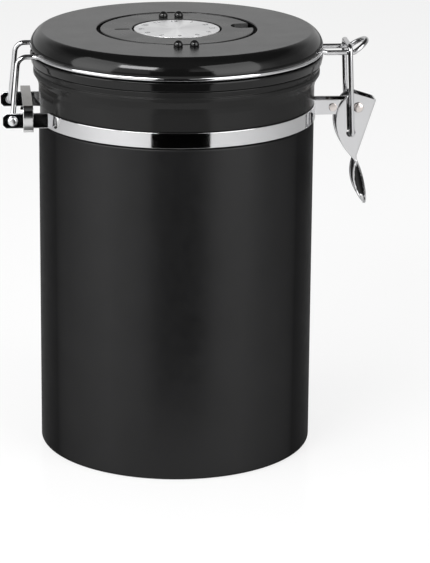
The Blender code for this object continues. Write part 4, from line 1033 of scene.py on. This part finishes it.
def make_card(name, first, second, low, high):
    """Upright studio card that only reflections see: it shapes the dark bands in the metal."""
    mesh = bpy.data.meshes.new(name)
    corners = [(*first, low), (*second, low), (*second, high), (*first, high)]
    mesh.from_pydata(corners, [], [(0, 1, 2, 3)])
    card = linked(name, mesh)
    mat = bpy.data.materials.new(name)
    mat.use_nodes = True
    shader = mat.node_tree.nodes["Principled BSDF"]
    shader.inputs["Base Color"].default_value = (CARD_GREY, CARD_GREY, CARD_GREY, 1)
    shader.inputs["Roughness"].default_value = 1.0
    shader.inputs["Specular IOR Level"].default_value = 0.0
    mesh.materials.append(mat)
    card.visible_camera = False
    card.visible_diffuse = False
    card.visible_shadow = False
    card.visible_transmission = False


def make_world():
    """White to the camera; to the object a soft studio, dark in front and overhead."""
    world = bpy.data.worlds.new("studio")
    scene.world = world
    world.use_nodes = True
    tree = world.node_tree
    tree.nodes.clear()
    new, link = tree.nodes.new, tree.links.new
    out = new("ShaderNodeOutputWorld")
    coord = new("ShaderNodeTexCoord")
    split = new("ShaderNodeSeparateXYZ")
    link(coord.outputs["Generated"], split.inputs["Vector"])

    def ramp(source, stops):
        """Level along a ramp of (place, level) stops, for a source from -1 to 1."""
        half = new("ShaderNodeMath")
        half.operation = "MULTIPLY_ADD"
        half.inputs[1].default_value = 0.5
        half.inputs[2].default_value = 0.5
        link(source, half.inputs[0])
        node = new("ShaderNodeValToRGB")
        node.color_ramp.interpolation = "EASE"
        elements = node.color_ramp.elements
        while len(elements) < len(stops):
            elements.new(0.5)
        for element, (place, level) in zip(elements, stops):
            element.position = place
            element.color = (level, level, level, 1)
        link(half.outputs["Value"], node.inputs["Fac"])
        return node.outputs["Color"]

    facing = new("ShaderNodeVectorMath")
    facing.operation = "DOT_PRODUCT"
    facing.inputs[1].default_value = (math.sin(FRONT_TURN), -math.cos(FRONT_TURN), 0)
    link(coord.outputs["Generated"], facing.inputs[0])
    round_about = ramp(facing.outputs["Value"], AZIMUTH_STOPS)
    upward = ramp(split.outputs["Z"], ELEVATION_STOPS)
    both = new("ShaderNodeMix")
    both.data_type = "RGBA"
    both.blend_type = "MULTIPLY"
    both.inputs["Factor"].default_value = 1.0
    link(round_about, both.inputs["A"])
    link(upward, both.inputs["B"])
    studio = new("ShaderNodeBackground")
    studio.inputs["Strength"].default_value = STUDIO_LEVEL
    link(both.outputs["Result"], studio.inputs["Color"])
    white = new("ShaderNodeBackground")
    white.inputs["Color"].default_value = (1, 1, 1, 1)
    path = new("ShaderNodeLightPath")
    blend = new("ShaderNodeMixShader")
    link(path.outputs["Is Camera Ray"], blend.inputs["Fac"])
    link(studio.outputs["Background"], blend.inputs[1])
    link(white.outputs["Background"], blend.inputs[2])
    link(blend.outputs["Shader"], out.inputs["Surface"])


def make_lamp(name, place, target, size, power):
    """Rectangular lamp that faces a target."""
    data = bpy.data.lights.new(name, "AREA")
    data.shape = "RECTANGLE"
    data.size, data.size_y = size
    data.energy = power
    lamp = linked(name, data)
    lamp.location = place
    lamp.rotation_euler = (Vector(target) - Vector(place)).to_track_quat("-Z", "Y").to_euler()
    return lamp


def make_camera():
    """Camera fitted to the photograph: turns in degrees, focal length and shift in its pixels."""
    yaw, pitch, roll = (math.radians(turn) for turn in CAMERA_TURNS)
    forward = Vector((math.sin(yaw) * math.cos(pitch), math.cos(yaw) * math.cos(pitch),
                      -math.sin(pitch)))
    right = Vector((math.cos(yaw), -math.sin(yaw), 0))
    down = forward.cross(right)
    turned_right = right * math.cos(roll) + down * math.sin(roll)
    turned_down = down * math.cos(roll) - right * math.sin(roll)
    data = bpy.data.cameras.new("camera")
    data.sensor_width = 36
    data.lens = FOCAL_PX / HEIGHT_PX * data.sensor_width
    data.shift_y = -SHIFT_PX / HEIGHT_PX
    data.clip_start, data.clip_end = 0.05, 20
    camera = linked("camera", data)
    matrix = Matrix((turned_right, -turned_down, -forward)).transposed().to_4x4()
    matrix.translation = Vector(CAMERA_PLACE)
    camera.matrix_world = matrix
    scene.camera = camera


make_can()
make_collar()
make_bands()
make_keeper()
make_rivets()
make_lever()
make_latch_wire()
make_lid_shell()
make_lid_wire()
make_date_ring()
make_dial()
make_studs()
make_lid_inside()
make_valve()

make_floor()
make_card("front_card", (-0.0568, -0.1447), (0.0500, -0.1562), 0.0, 0.21)
make_card("ear_card", (-0.100, -0.400), (-0.024, -0.408), 0.0, 0.09)
make_card("camera_card", (-0.237, -0.880), (0.081, -0.914), 0.2, 0.8)
make_world()
make_lamp("left_box", (-1.02, -0.32, 0.55), (0, 0, 0.1), (0.8, 1.2), 7)
make_lamp("right_box", (0.70, -0.78, 0.55), (0, 0, 0.1), (0.8, 1.2), 8)
make_lamp("left_strip", (-0.46, -0.62, 0.66), (0, 0, 0.18), (0.42, 0.24), 4.8)
make_lamp("top_fill", (0, 0, 1.3), (0, 0, 0), (1.4, 1.4), 9).visible_glossy = False
make_camera()
scene.view_settings.view_transform = "Standard"
